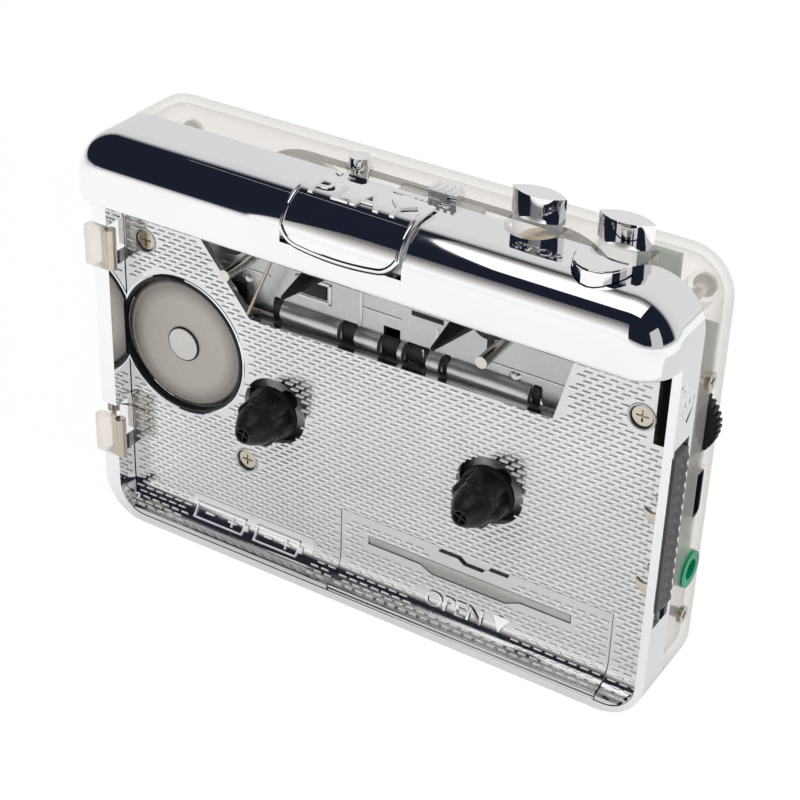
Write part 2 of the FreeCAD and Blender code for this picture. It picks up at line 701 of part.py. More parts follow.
def tape_sensor():
    """A thin sprung wire that leans across the left of the window."""
    start = Vector(-25.6, 2.0, 48.7)
    knee = Vector(-26.2, -0.5, 49.3)
    end = Vector(-18.8, -1.8, 65.5)
    solids = [
        Part.makeCylinder(0.3, (b - a).Length, a, b - a) for a, b in ((start, knee), (knee, end))
    ]
    wire = doc.addObject("Part::Feature", "tape_sensor")
    wire.Shape = solids[0].fuse([Part.makeSphere(0.3, knee), solids[1]])
    wire.Placement = Placement()
    return wire


# --- buttons ------------------------------------------------------------------------------------


def play_button():
    """A skin that follows the hood's rounding, standing a little proud of it."""
    outer = d.hood_round + d.play_proud + d.play_skin
    inner = d.hood_round + d.play_proud
    mid_y = d.hood_y + d.hood_round
    mid_z = d.top_z - d.hood_round
    wide = d.play_right - d.play_left
    skins = []
    for radius in (outer, inner):
        bow = rod("play_round", "x", (d.play_left, mid_y, mid_z), radius, wide)
        flat = box("play_flat", (d.play_left, mid_y, mid_z), (d.play_right, d.play_back, mid_z + radius))
        skins.append(fuse("play_skin_block", [bow, flat]))
    hollow = cut("play_skin_hollow", skins[0], [skins[1]])
    keep = box("play_keep", (d.play_left, d.hood_y - 2, d.play_low), (d.play_right, d.play_back, 90))
    skin = doc.addObject("Part::MultiCommon", "play_cap")
    skin.Shapes = [hollow, keep]
    rim = box("play_rim", (d.play_left, d.play_back - 1.2, 75.6), (d.play_right, d.play_back, 79.4))
    stem = box("play_stem", (-10.6, -4.6, 72.4), (-8.4, -2.4, 79.6))
    return fuse("play_button", [skin, rim, stem])


def stop_button():
    body = new_body("stop_button")
    pad(body, "XY", 71.4, d.stop_high, stop_outline(0))
    soften(body, 0.35, lambda e: near(e.BoundBox.ZMin, d.stop_high.number))
    return body


def lens_prism(name, across, low, high, half_wide, half_deep):
    """A lens-shaped block: the common part of two upright cylinders."""
    radius = (half_wide * half_wide + half_deep * half_deep) / (2 * half_deep)
    offset = radius - half_deep
    tall = size(high) - low
    cylinders = [
        rod(f"{name}_side", "z", (across, d.wind_y + shift, low), radius, tall)
        for shift in (offset, -offset)
    ]
    lens = doc.addObject("Part::MultiCommon", name)
    lens.Shapes = cylinders
    return lens


def wind_buttons():
    parts = {}
    for across, word in ((d.wind_left_x, "rewind"), (d.wind_right_x, "forward")):
        cap = lens_prism(f"{word}_cap", across, 79.9, d.wind_high, 4.6, 1.95)
        stem = lens_prism(f"{word}_stem", across, 73.6, 79.9, 4.35, 1.75)
        parts[word] = (cap, stem)
    return parts


def small_controls():
    knob = fuse("direction_button", [
        rod("knob_stem", "z", (*KNOB_AT, 75.4), 1.5, 4.0),
        taper("knob_cap", "z", (*KNOB_AT, 79.2), 1.95, 1.7, 1.7),
    ])
    tongue = box("slider_tongue", (7.4, 3.6, 76.6), (9.4, 4.7, 79.0))
    grip = box("slider_grip", (5.9, 2.8, 79.0), (10.9, 5.4, 80.2))
    ribs = [
        box("slider_rib", (6.1 + 1.28 * step, 2.8, 80.2), (6.7 + 1.28 * step, 5.4, 80.7))
        for step in range(4)
    ]
    slider = fuse("mode_slider", [tongue, grip, *ribs])
    switch = box("mode_switch", (-2.0, 3.5, 71.4), (13.0, 8.6, 76.4))
    return knob, slider, switch


def button_springs():
    """Coil springs as plain sleeves under the sprung buttons."""
    places = {
        "play_spring": (-9.5, -3.5, PLAY_SHELF, 72.4),
        "stop_spring": (38.7, -4.6, 68.4, 71.4),
        "rewind_spring": (24.1, 5.6, SPRING_SHELF, 73.6),
        "forward_spring": (38.7, 5.6, SPRING_SHELF, 73.6),
    }
    return [
        tube(name, "z", (x, y, low), 1.5, 1.1, high - low) for name, (x, y, low, high) in places.items()
    ]


def open_control():
    """The knurled slider in the right wall, with the two hooks that hold the door."""
    base = box("open_slider_base", (d.well_right + 0.15, -3.6, 22.6), (54.0, 1.0, 51.6))
    cells = []
    for row in range(14):
        for column in range(2):
            low_y = -3.4 + 2.2 * column
            low_z = 22.9 + 2.03 * row
            bump = doc.addObject("Part::Wedge", "slider_bump")
            bump.Xmin, bump.Xmax = 0, 2.0
            bump.Zmin, bump.Zmax = 0, 1.8
            bump.Ymin, bump.Ymax = 0, 0.6
            bump.X2min, bump.X2max = 0.7, 1.3
            bump.Z2min, bump.Z2max = 0.6, 1.2
            turn = Rotation(Vector(0, 0, 1), -90)
            cells.append(place(bump, (54.0, low_y + 2.0, low_z), turn))
    slider = fuse("open_slider", [base, *cells])
    hooks = []
    for height in HOOKS:
        bar = box("hook_bar", (49.4, -2.6, height), (d.well_right + 0.15, -1.6, height + HOOK_TALL))
        nose = box("hook_nose", (49.4, -3.6, height), (50.2, -2.6, height + HOOK_TALL))
        hooks.append(fuse("latch_hook", [bar, nose]))
    spring = tube("latch_spring", "z", (d.well_right + 0.75, -1.2, 19.7), 0.55, 0.35, 2.9)
    return slider, group("latch_hooks", hooks), spring


# --- electronics --------------------------------------------------------------------------------


def electronics():
    board = box("board_blank", (37.6, 12.0, 18.6), (51.6, 13.2, 76.2))
    notch = box("board_notch", (44.6, 11, 66.4), (52, 14, 77))
    pcb = cut("circuit_board", board, [notch])
    chips = [
        box("chip", (40.2, 11.0, 42.0), (45.2, 12.0, 46.4)),
        box("chip_small", (38.8, 13.2, 27.0), (44.0, 14.3, 31.2)),
        rod("capacitor", "y", (41.2, 8.6, 69.8), 2.0, 3.4),
        rod("capacitor_low", "y", (40.6, 9.4, 50.2), 1.6, 2.6),
        box("crystal", (39.2, 13.2, 56), (43.6, 14.2, 57.8)),
        box("resistor", (46.2, 13.2, 40), (49.4, 13.9, 41.6)),
        box("resistor_low", (46.2, 13.2, 36), (49.4, 13.9, 37.6)),
    ]
    usb_block = box("usb_block", (46.4, 7.3, d.usb_z - 4.35), (53.5, 10.3, d.usb_z + 4.35))
    usb_shell = rounded("usb_round", usb_block, 1.3, lambda e: along(e, "x"))
    mouth = box("usb_mouth", (48.4, 7.8, d.usb_z - 3.85), (54, 9.8, d.usb_z + 3.85))
    tongue = box("usb_tongue", (48.4, 8.45, d.usb_z - 3.2), (52.6, 9.15, d.usb_z + 3.2))
    usb = fuse("usb_socket", [cut("usb_hollow", usb_shell, [mouth]), tongue])
    jack_box = box("jack_box", (42.6, 5.4, d.jack_z - 3.4), (52.0, 11.9, d.jack_z + 3.4))
    nose = rod("jack_nose", "x", (52.0, d.jack_y, d.jack_z), 3.2, 2.1)
    hole = rod("jack_hole", "x", (44.6, d.jack_y, d.jack_z), 1.8, 10)
    jack = cut("headphone_jack", fuse("jack_whole", [jack_box, nose]), [hole])
    wheel_start = (d.wheel_x, 7.9, d.wheel_z)
    wheel = tube("volume_disc", "y", wheel_start, 6.0, 1.0 + d.run_fit, 1.8)
    knurls = []
    for step in range(36):
        turn = Rotation(Vector(0, 1, 0), 10 * step)
        reach = turn.multVec(Vector(5.85, 0, -0.25))
        tooth = box("knurl", (0, 0, 0), (0.55, 1.8, 0.5))
        place(tooth, (0, 7.9, 0), turn)
        bind(tooth, "Placement.Base.x", d.wheel_x + reach.x)
        bind(tooth, "Placement.Base.z", d.wheel_z + reach.z)
        knurls.append(tooth)
    volume = fuse("volume_wheel", [wheel, *knurls])
    pot = fuse("volume_control", [
        box("pot_box", (45.6, 10.1, d.wheel_z - 3.4), (51.4, 12.0, d.wheel_z + 3.4)),
        rod("pot_shaft", "y", (d.wheel_x, 7.7, d.wheel_z), 1.0, 2.4),
    ])
    return {
        "circuit_board": pcb,
        "board_components": group("board_components", chips),
        "usb_socket": usb,
        "headphone_jack": jack,
        "volume_wheel": volume,
        "volume_control": pot,
    }


# --- battery bay and door -----------------------------------------------------------------------


def battery_parts():
    flap = new_body("battery_flap")
    low = (d.flap_left, d.flap_low)
    high = (d.flap_right, d.flap_high)
    pad(flap, "XZ", 0, d.plate_thick, corners(low, high))
    pad(flap, "XZ", d.frame_y + 0.2, 0, corners(low, (d.flap_right, d.flap_low + 0.85)))
    soften(flap, d.cove, lambda e: along(e, "x") and near(centre(e).y, 0) and near(
        centre(e).z, d.flap_low.number + 0.85))
    soften(flap, 0.42, lambda e: along(e, "x") and near(centre(e).y, d.frame_y.number + 0.2))
    notch = [(11.7, d.flap_high + 1), (12.5, d.flap_high - 1.1), (16.2, d.flap_high - 1.1),
             (17.4, d.flap_high - 2.0), (20.9, d.flap_high - 2.0), (22.1, d.flap_high - 1.1),
             (25.8, d.flap_high - 1.1), (26.6, d.flap_high + 1)]
    pocket(flap, "XZ", -0.1, 0.5, notch)
    groove = [(-1.6, 11.1), (8.8, 11.1), (11.4, 9.9), (25.6, 9.9), (28.2, 11.1), (37.9, 11.1),
              (37.9, 12.9), (-1.6, 12.9)]
    pocket(flap, "XZ", -0.1, 0.35, groove)
    tray = fuse("battery_tray", [
        box("tray_shelf", (-51.8, 1.5, 17.0), (49.4, 15.0, 17.9)),
        box("tray_end_left", (-51.8, 3.0, 5.6), (-51.0, 12.6, 17.9)),
        box("tray_end_right", (48.6, 3.0, 5.6), (49.4, 12.6, 17.9)),
    ])
    spring_base = box("battery_spring_base", (-51.0, 3.6, 5.8), (-50.6, 12.4, 14.4))
    coils = taper("battery_coils", "x", (-50.6, 8.0, 10.1), 3.9, 2.4, 10.5)
    spring = fuse("battery_spring", [spring_base, coils])
    contact = fuse("battery_contact", [
        box("contact_leaf", (48.2, 3.8, 5.8), (48.6, 12.2, 14.4)),
        rod("contact_button", "x", (47.5, 8.0, 10.1), 2.2, 0.7),
    ])
    return flap, tray, spring, contact


def cassette_door():
    """The clear door, modelled shut and then turned half a turn open about its pin."""
    low = (d.door_left, 0.6)
    high = (d.door_right, d.door_high)
    block = box("door_block", (low[0], d.door_front, low[1]), (high[0], d.door_back, high[1]))
    hollow = box("door_hollow", (low[0] + d.door_wall, d.door_front + d.door_wall, low[1] + d.door_wall),
                 (high[0] - d.door_wall, 0, high[1] - d.door_wall))
    shell = rounded("door_round", block, 5.0, lambda e: along(e, "y") and centre(e).z < 30)
    edge = rounded("door_soft", shell, 1.0, lambda e: at_depth(e, d.door_front.number))
    inner = rounded("door_hollow_round", hollow, 3.8, lambda e: along(e, "y") and centre(e).z < 30)
    solids = []
    bores = []
    for bottom, top in KNUCKLES:
        tall = top - bottom
        solids += [
            rod("door_knuckle", "z", (d.hinge_x, d.hinge_y, bottom), d.knuckle_r, tall),
            box("door_tab", (d.hinge_x - 1.3, -5.9, bottom), (d.hinge_x + 1.3, d.hinge_y, top)),
            box("door_tab_foot", (d.hinge_x, -5.9, bottom), (d.door_left + 0.6, -4.8, top)),
        ]
        bores.append(rod("door_bore", "z", (d.hinge_x, d.hinge_y, bottom - 1), d.pin_r + d.run_fit,
                         tall + 2))
    panel = cut("door_panel", edge, [inner])
    catches = [
        box("door_catch", (50.2, -8.4, height + CATCH_LIFT), (d.door_right - 0.6, -4.8, height + 3.0))
        for height in HOOKS
    ]
    head_gap = box("door_head_gap", (-29, d.door_front + d.door_wall, 62), (29, 0, d.door_high + 1))
    shut = cut("door_shut", fuse("door_whole", [panel, *solids, *catches]), [head_gap, *bores])
    doc.recompute()
    door = doc.addObject("Part::Feature", "cassette_door")
    axis = Vector(d.hinge_x.number, d.hinge_y.number, 0)
    turned = shut.Shape.copy()
    turned.rotate(axis, Vector(0, 0, 1), 180)
    door.Shape = turned
    return door


def hinge_hardware():
    pin = rod("door_hinge_pin", "z", (d.hinge_x, d.hinge_y, 3.5), d.pin_r, d.hood_z + 1 - 3.5)
    coil = tube("spring_coil", "z", (d.hinge_x, d.hinge_y, 21.25), 1.15, d.pin_r + 0.08, 1.9)
    leg = rod("spring_leg", "x", (d.hinge_x + 0.9, d.hinge_y + 0.5, 22.9), 0.2, 5.4)
    return pin, fuse("door_spring", [coil, leg])


def screw(name, axis, start, head_r, head_tall, shank_r, shank_long, reverse=False):
    """A pan head with a cross recess and a plain shank. reverse puts the head at the far end."""
    head_start = shank_long if reverse else 0
    shank_start = 0 if reverse else head_tall
    step = {"x": Vector(1, 0, 0), "y": Vector(0, 1, 0)}[axis]
    cross_start = head_start + head_tall - 0.5 if reverse else 0

    def shifted(distance):
        return tuple(value + distance * part for value, part in zip(start, step))

    head = rod(f"{name}_head", axis, shifted(head_start), head_r, head_tall)
    shank = rod(f"{name}_shank", axis, shifted(shank_start), shank_r, shank_long)
    arm = head_r * 0.62
    bars = []
    for wide, tall in ((arm, 0.16), (0.16, arm)):
        if axis == "y":
            low, high = (-wide, 0, -tall), (wide, 0.5, tall)
        else:
            low, high = (0, -wide, -tall), (0.5, wide, tall)
        base = shifted(cross_start)
        bars.append(box(f"{name}_slot", tuple(a + b for a, b in zip(base, low)),
                        tuple(a + b for a, b in zip(base, high))))
    return cut(name, fuse(f"{name}_whole", [head, shank]), bars)


def screws():
    front = [
        screw("plate_screw", "y", (x, 0.25, z), 1.75, 0.65, 0.95, 2.6) for x, z in PLATE_SCREWS
    ]
    side = [
        screw("side_screw", "x", (51.4, y, z), 1.5, 0.7, 0.85, 2.3, reverse=True)
        for y, z in SIDE_SCREWS
    ]
    rear = [
        screw("rear_screw", "y", (x, 8.2, z), 1.9, 0.8, 1.05, 7.6, reverse=True)
        for x, z in REAR_SCREWS
    ]
    return group("plate_screws", front), group("side_screws", side), group("rear_screws", rear)


# --- everything together ------------------------------------------------------------------------


def all_parts():
    can, boss, bracket, pulley = motor()
    capstan_parts, bushes = capstans()
    reel_parts = reels()
    pinch_parts = pinch_units()
    wind_parts = wind_buttons()
    head_bracket, tape_head = head_unit()
    knob, slider, switch = small_controls()
    open_slider, hooks, latch_spring = open_control()
    flap, tray, battery_spring, contact = battery_parts()
    pin, door_spring = hinge_hardware()
    plate_screws, side_screws, rear_screws = screws()
    nodes = {
        "front_shell": front_shell(),
        "well_plate": well_plate(),
        "rear_shell": rear_shell(),
        "cassette_door": cassette_door(),
        "door_hinge_pin": pin,
        "door_spring": door_spring,
        "motor_can": can,
        "motor_boss": boss,
        "motor_bracket": bracket,
        "motor_pulley": pulley,
        "drive_belt": drive_belt(),
        "capstan_bushes": bushes,
        "chassis_plate": chassis_plate(),
        "deck_plate": deck_plate(),
        "chassis_posts": chassis_posts(),
        "locating_blades": locating_blades(),
        "tape_sensor": tape_sensor(),
        "head_bracket": head_bracket,
        "tape_head": tape_head,
        "play_button": play_button(),
        "stop_button": stop_button(),
        "direction_button": knob,
        "mode_slider": slider,
        "mode_switch": switch,
        "open_slider": open_slider,
        "latch_hooks": hooks,
        "latch_spring": latch_spring,
        "battery_flap": flap,
        "battery_tray": tray,
        "battery_spring": battery_spring,
        "battery_contact": contact,
        "plate_screws": plate_screws,
        "side_screws": side_screws,
        "rear_screws": rear_screws,
    }
    nodes.update(electronics())
    for word in ("left", "right"):
        nodes[f"capstan_{word}"], nodes[f"flywheel_{word}"] = capstan_parts[word]
        nodes[f"reel_spindle_{word}"], nodes[f"reel_turntable_{word}"] = reel_parts[word]
        nodes[f"pinch_arm_{word}"], nodes[f"pinch_roller_{word}"] = pinch_parts[word]
    for word in ("rewind", "forward"):
        nodes[f"{word}_cap"], nodes[f"{word}_stem"] = wind_parts[word]
    for spring in button_springs():
        nodes[spring.Name] = spring
    return nodes


def check(nodes):
    """Stops before anything is written if an object failed or a sub-part is empty or broken."""
    failed = [o.Name for o in doc.Objects if {"Invalid", "Error"} & set(o.State)]
    if failed:
        raise RuntimeError(f"failed objects: {failed}")
    for name, part in nodes.items():
        if part.Shape.isNull() or not part.Shape.isValid() or not part.Shape.Solids:
            raise RuntimeError(f"{name} has no valid solid")


def write(nodes):
    os.makedirs("parts", exist_ok=True)
    for name, part in nodes.items():
        part.Label = name
        part.Shape.exportStep(f"parts/{name}.step")


parts = all_parts()
doc.recompute()
check(parts)
write(parts)
print(len(parts), "sub-parts")
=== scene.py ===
import math

import bpy
from mathutils import Matrix, Vector


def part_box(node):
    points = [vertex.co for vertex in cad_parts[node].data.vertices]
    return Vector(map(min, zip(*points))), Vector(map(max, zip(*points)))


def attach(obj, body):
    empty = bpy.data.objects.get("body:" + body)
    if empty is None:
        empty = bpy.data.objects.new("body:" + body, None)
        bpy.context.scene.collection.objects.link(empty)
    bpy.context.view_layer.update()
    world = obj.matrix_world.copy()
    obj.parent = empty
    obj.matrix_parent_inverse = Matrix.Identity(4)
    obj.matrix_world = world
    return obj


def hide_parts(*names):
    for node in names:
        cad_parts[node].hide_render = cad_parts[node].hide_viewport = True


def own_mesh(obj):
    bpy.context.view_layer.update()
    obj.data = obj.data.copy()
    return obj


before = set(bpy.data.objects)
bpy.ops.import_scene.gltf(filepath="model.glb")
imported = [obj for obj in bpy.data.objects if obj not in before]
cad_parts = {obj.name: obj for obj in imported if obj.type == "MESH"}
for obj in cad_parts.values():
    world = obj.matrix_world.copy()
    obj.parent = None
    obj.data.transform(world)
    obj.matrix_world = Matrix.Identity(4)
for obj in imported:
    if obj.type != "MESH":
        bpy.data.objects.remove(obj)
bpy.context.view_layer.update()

MM = 0.001

# places shared by several sections, in millimetres: across and up in the plane of the well
MOTOR_X = -41
MOTOR_Z = 37.8
REEL_X = 21.25
REEL_Z = 31.3
PLATE_SCREWS = ((-48.2, 56.2), (46.3, 54.6), (-27.3, 18.9))

# --- finishes -----------------------------------------------------------------------------------


def colour_ramp(tree, value, stops):
    """Turns a value into a colour, by stops of (position, colour)."""
    ramp = tree.nodes.new("ShaderNodeValToRGB")
    while len(ramp.color_ramp.elements) < len(stops):
        ramp.color_ramp.elements.new(0.5)
    for element, (position, colour) in zip(ramp.color_ramp.elements, stops):
        element.position = position
        element.color = (*colour, 1)
    tree.links.new(value, ramp.inputs["Fac"])
    return ramp.outputs["Color"]


class Finish:
    """A material under construction: its node tree, its main shader and its coordinates."""

    def __init__(self, name):
        self.material = bpy.data.materials.new(name)
        self.material.use_nodes = True
        self.nodes = self.material.node_tree.nodes
        self.links = self.material.node_tree.links
        self.nodes.clear()
        self.output = self.nodes.new("ShaderNodeOutputMaterial")
        self.shader = self.nodes.new("ShaderNodeBsdfPrincipled")
        self.links.new(self.shader.outputs[0], self.output.inputs["Surface"])
        self.place = self.nodes.new("ShaderNodeTexCoord").outputs["Object"]

    def noise(self, scale, detail=3.0, stretch=(1, 1, 1)):
        mapping = self.nodes.new("ShaderNodeMapping")
        mapping.inputs["Scale"].default_value = stretch
        self.links.new(self.place, mapping.inputs["Vector"])
        texture = self.nodes.new("ShaderNodeTexNoise")
        texture.inputs["Scale"].default_value = scale
        texture.inputs["Detail"].default_value = detail
        self.links.new(mapping.outputs[0], texture.inputs["Vector"])
        return texture.outputs["Fac"]

    def spread(self, value, low, high, start=0.3, end=0.7):
        """Maps a noise value on to the range low to high."""
        node = self.nodes.new("ShaderNodeMapRange")
        node.inputs["From Min"].default_value = start
        node.inputs["From Max"].default_value = end
        node.inputs["To Min"].default_value = low
        node.inputs["To Max"].default_value = high
        self.links.new(value, node.inputs["Value"])
        return node.outputs["Result"]

    def blend(self, value, dark, light):
        return colour_ramp(self.material.node_tree, value, [(0.3, dark), (0.7, light)])

    def bump(self, height, strength, distance):
        node = self.nodes.new("ShaderNodeBump")
        node.inputs["Strength"].default_value = strength
        node.inputs["Distance"].default_value = distance
        self.links.new(height, node.inputs["Height"])
        self.links.new(node.outputs[0], self.shader.inputs["Normal"])

    def distance_from(self, point):
        """How far a place is, in metres, from a point given in millimetres."""
        mapping = self.nodes.new("ShaderNodeMapping")
        mapping.inputs["Location"].default_value = [-c * MM for c in point]
        self.links.new(self.place, mapping.inputs["Vector"])
        length = self.nodes.new("ShaderNodeVectorMath")
        length.operation = "LENGTH"
        self.links.new(mapping.outputs[0], length.inputs[0])
        return length.outputs["Value"]


def shade(tint, factor):
    return tuple(min(1.0, part * factor) for part in tint)


def metal(name, tint, rough, grain=900, stretch=(1, 1, 1), relief=0.05, cloud=0.06, share=1.0):
    finish = Finish(name)
    finish.shader.inputs["Metallic"].default_value = share
    broad = finish.noise(60, 4)
    colour = finish.blend(broad, shade(tint, 1 - cloud), shade(tint, 1 + cloud / 2))
    finish.links.new(colour, finish.shader.inputs["Base Color"])
    fine = finish.noise(grain, 4, stretch)
    roughness = finish.spread(fine, rough * 0.75, rough * 1.3)
    finish.links.new(roughness, finish.shader.inputs["Roughness"])
    finish.bump(fine, relief, 0.00005)
    return finish.material


def plastic(name, tint, rough, grain=1400, relief=0.12, cloud=0.12):
    finish = Finish(name)
    finish.shader.inputs["Specular IOR Level"].default_value = 0.3
    broad = finish.noise(120, 4)
    colour = finish.blend(broad, shade(tint, 1 - cloud), shade(tint, 1 + cloud))
    finish.links.new(colour, finish.shader.inputs["Base Color"])
    fine = finish.noise(grain, 3)
    finish.links.new(finish.spread(fine, rough * 0.8, rough * 1.25), finish.shader.inputs["Roughness"])
    finish.bump(fine, relief, 0.00006)
    return finish.material


def clear_plastic(name, tint, least, most, through_tint=(0.985, 0.98, 0.972)):
    """Thin clear moulding: see-through face on, cloudier where it is seen edge on."""
    finish = Finish(name)
    finish.shader.inputs["Base Color"].default_value = (*tint, 1)
    broad = finish.noise(90, 3)
    finish.links.new(finish.spread(broad, 0.03, 0.09), finish.shader.inputs["Roughness"])
    facing = finish.nodes.new("ShaderNodeLayerWeight")
    facing.inputs["Blend"].default_value = 0.35
    cover = finish.spread(facing.outputs["Facing"], least, most, 0.1, 0.95)
    through = finish.nodes.new("ShaderNodeBsdfTransparent")
    through.inputs["Color"].default_value = (*through_tint, 1)
    mix = finish.nodes.new("ShaderNodeMixShader")
    finish.links.new(cover, mix.inputs["Fac"])
    finish.links.new(through.outputs[0], mix.inputs[1])
    finish.links.new(finish.shader.outputs[0], mix.inputs[2])
    finish.links.new(mix.outputs[0], finish.output.inputs["Surface"])
    return finish.material


def motor_finish():
    """Blasted warm grey steel with a fine grain, darker towards the rim as painted shade."""
    finish = Finish("motor_blasted_steel_painted_shade")
    finish.shader.inputs["Metallic"].default_value = 0.9
    away = finish.distance_from((MOTOR_X, 0.7, MOTOR_Z))
    # painted shade: the colour darkens with distance from the motor's axis
    rim_shade = finish.spread(away, 0.35, 0.75, 0.0085, 0.0115)
    colour = finish.blend(rim_shade, (0.52, 0.49, 0.45), (0.29, 0.27, 0.25))
    finish.links.new(colour, finish.shader.inputs["Base Color"])
    fine = finish.noise(2600, 4)
    finish.links.new(finish.spread(fine, 0.42, 0.6), finish.shader.inputs["Roughness"])
    finish.bump(fine, 0.25, 0.00004)
    return finish.material


CHROME = metal("mirror_chrome", (0.88, 0.885, 0.90), 0.035, 240, relief=0.012, cloud=0.02)
KEY_CHROME = metal("key_chrome", (0.90, 0.90, 0.91), 0.03, 260, relief=0.01, cloud=0.02)
# one metal in two tones: the well plate is painted darker as painted shade, and its raised bricks and label
# lines lighter as painted highlight
PLATE_SILVER_PAINTED_SHADE = metal("plate_silver_painted_shade", (0.74, 0.74, 0.745), 0.13, 1500, relief=0.08, cloud=0.08)
BRICK_SILVER_PAINTED_HIGHLIGHT = metal("brick_silver_painted_highlight", (0.92, 0.92, 0.92), 0.22, 1200, relief=0.03, cloud=0.03, share=0.4)
FLAP_SILVER = metal("flap_silver", (0.72, 0.72, 0.72), 0.14, 1500, relief=0.08, cloud=0.06)
SMOOTH_SILVER = metal("smooth_silver", (0.84, 0.845, 0.85), 0.10, 700, relief=0.05, cloud=0.05)
GROOVE_GREY = metal("groove_satin", (0.56, 0.55, 0.53), 0.48, 1800, relief=0.12)
SHEET = metal("satin_sheet_steel", (0.52, 0.535, 0.53), 0.36, 2200, relief=0.10, cloud=0.08)
SHEET_BRIGHT = metal("bright_sheet_steel", (0.64, 0.65, 0.645), 0.30, 2000, (1, 1, 0.08), relief=0.01)
STEEL = metal("ground_steel", (0.66, 0.64, 0.60), 0.18, 1500, (1, 0.06, 1))
BARREL = metal("barrel_steel", (0.60, 0.61, 0.605), 0.36, 2200, relief=0.01, cloud=0.03)
NICKEL = metal("warm_nickel", (0.62, 0.56, 0.47), 0.16, 900)
COPPER_WIRE = metal("coppery_wire", (0.50, 0.42, 0.36), 0.32, 900)
BRASS = metal("turned_brass", (0.72, 0.53, 0.25), 0.28, 1300, relief=0.02)
BOSS = metal("turned_boss", (0.60, 0.585, 0.565), 0.34, 2200)
MOTOR = motor_finish()
BLACK = plastic("black_acetal", (0.008, 0.008, 0.0085), 0.3, relief=0.02, cloud=0.05)
SATIN_BLACK = plastic("satin_black", (0.008, 0.008, 0.008), 0.38)
GREY_KNURL = plastic("grey_moulding", (0.11, 0.105, 0.105), 0.42)
DARK = plastic("dark_moulding", (0.06, 0.062, 0.066), 0.5)
MID_GREY = plastic("mid_grey_moulding", (0.22, 0.225, 0.23), 0.5)
RUBBER = plastic("rubber", (0.02, 0.02, 0.02), 0.7, relief=0.3)
GREEN = plastic("green_moulding", (0.0, 0.26, 0.12), 0.3, relief=0.04)
BOARD = plastic("lacquered_board", (0.03, 0.13, 0.07), 0.35, relief=0.05, cloud=0.3)
COATED_RED = plastic("coated_red", (0.62, 0.13, 0.15), 0.35)
CLEAR = clear_plastic("clear_case", (0.60, 0.57, 0.54), 0.02, 0.60)
CLEAR_DOOR = clear_plastic("clear_door", (0.97, 0.965, 0.96), 0.0, 0.07, (0.997, 0.997, 0.997))
CLEAR_KNUCKLE = clear_plastic("clear_knuckle", (0.80, 0.73, 0.66), 0.34, 0.85)
CLEAR_STEM = clear_plastic("clear_stem", (0.86, 0.86, 0.86), 0.22, 0.70)

NODE_FINISHES = {
    "front_shell": CHROME, "well_plate": PLATE_SILVER_PAINTED_SHADE, "battery_flap": FLAP_SILVER,
    "rear_shell": CLEAR, "cassette_door": CLEAR_DOOR, "rewind_stem": CLEAR_STEM,
    "forward_stem": CLEAR_STEM, "rewind_cap": KEY_CHROME, "forward_cap": KEY_CHROME,
    "stop_button": KEY_CHROME, "play_button": KEY_CHROME, "direction_button": KEY_CHROME,
    "mode_slider": KEY_CHROME, "motor_can": MOTOR, "motor_boss": BOSS, "motor_bracket": DARK,
    "motor_pulley": BRASS, "drive_belt": RUBBER, "capstan_bushes": BRASS, "chassis_plate": SHEET,
    "deck_plate": SHEET, "chassis_posts": SHEET_BRIGHT, "locating_blades": SATIN_BLACK,
    "tape_sensor": COPPER_WIRE, "head_bracket": SHEET, "tape_head": SHEET_BRIGHT,
    "mode_switch": MID_GREY, "open_slider": GREY_KNURL, "latch_hooks": NICKEL,
    "latch_spring": STEEL, "battery_tray": MID_GREY, "battery_spring": NICKEL,
    "battery_contact": BRASS, "plate_screws": NICKEL, "side_screws": NICKEL, "rear_screws": NICKEL,
    "circuit_board": BOARD, "board_components": COATED_RED, "usb_socket": SATIN_BLACK,
    "headphone_jack": GREEN, "volume_wheel": SATIN_BLACK, "volume_control": MID_GREY,
    "capstan_left": STEEL, "capstan_right": STEEL, "flywheel_left": BRASS, "flywheel_right": BRASS,
    "reel_spindle_left": BLACK, "reel_spindle_right": BLACK, "reel_turntable_left": DARK,
    "reel_turntable_right": DARK, "pinch_arm_left": SHEET_BRIGHT, "pinch_arm_right": SHEET_BRIGHT,
    "pinch_roller_left": RUBBER, "pinch_roller_right": RUBBER, "play_spring": STEEL,
    "stop_spring": STEEL, "rewind_spring": STEEL, "forward_spring": STEEL, "door_spring": STEEL,
    "door_hinge_pin": STEEL,
}

for node, finish in NODE_FINISHES.items():
    for material_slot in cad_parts[node].material_slots:
        material_slot.material = finish

# --- ways of making -----------------------------------------------------------------------------


def select_only(piece):
    bpy.ops.object.select_all(action="DESELECT")
    piece.select_set(True)
    bpy.context.view_layer.objects.active = piece


def fresh():
    """Leaves nothing selected, so the next primitive is alone."""
    bpy.ops.object.select_all(action="DESELECT")


def fix_place(piece):
    select_only(piece)
    bpy.ops.object.transform_apply(location=True, rotation=True, scale=True)


def shape(piece, kind, **settings):
    """Adds one modifier, sets it and applies it."""
    select_only(piece)
    modifier = piece.modifiers.new(kind.lower(), kind)
    for setting, value in settings.items():
        setattr(modifier, setting, value)
    bpy.ops.object.modifier_apply(modifier=modifier.name)


def soften(piece, width, segments=3, limit=30):
    shape(piece, "BEVEL", width=width * MM, segments=segments, limit_method="ANGLE",
          angle_limit=math.radians(limit))


def edit(piece, *steps):
    """Runs edit-mode operators on everything in a piece."""
    select_only(piece)
    bpy.ops.object.mode_set(mode="EDIT")
    for step in steps:
        bpy.ops.mesh.select_all(action="SELECT")
        step()
    bpy.ops.object.mode_set(mode="OBJECT")


WELD_GAP = 0.000002


def weld():
    bpy.ops.mesh.remove_doubles(threshold=WELD_GAP)


def outward():
    bpy.ops.mesh.normals_make_consistent(inside=False)


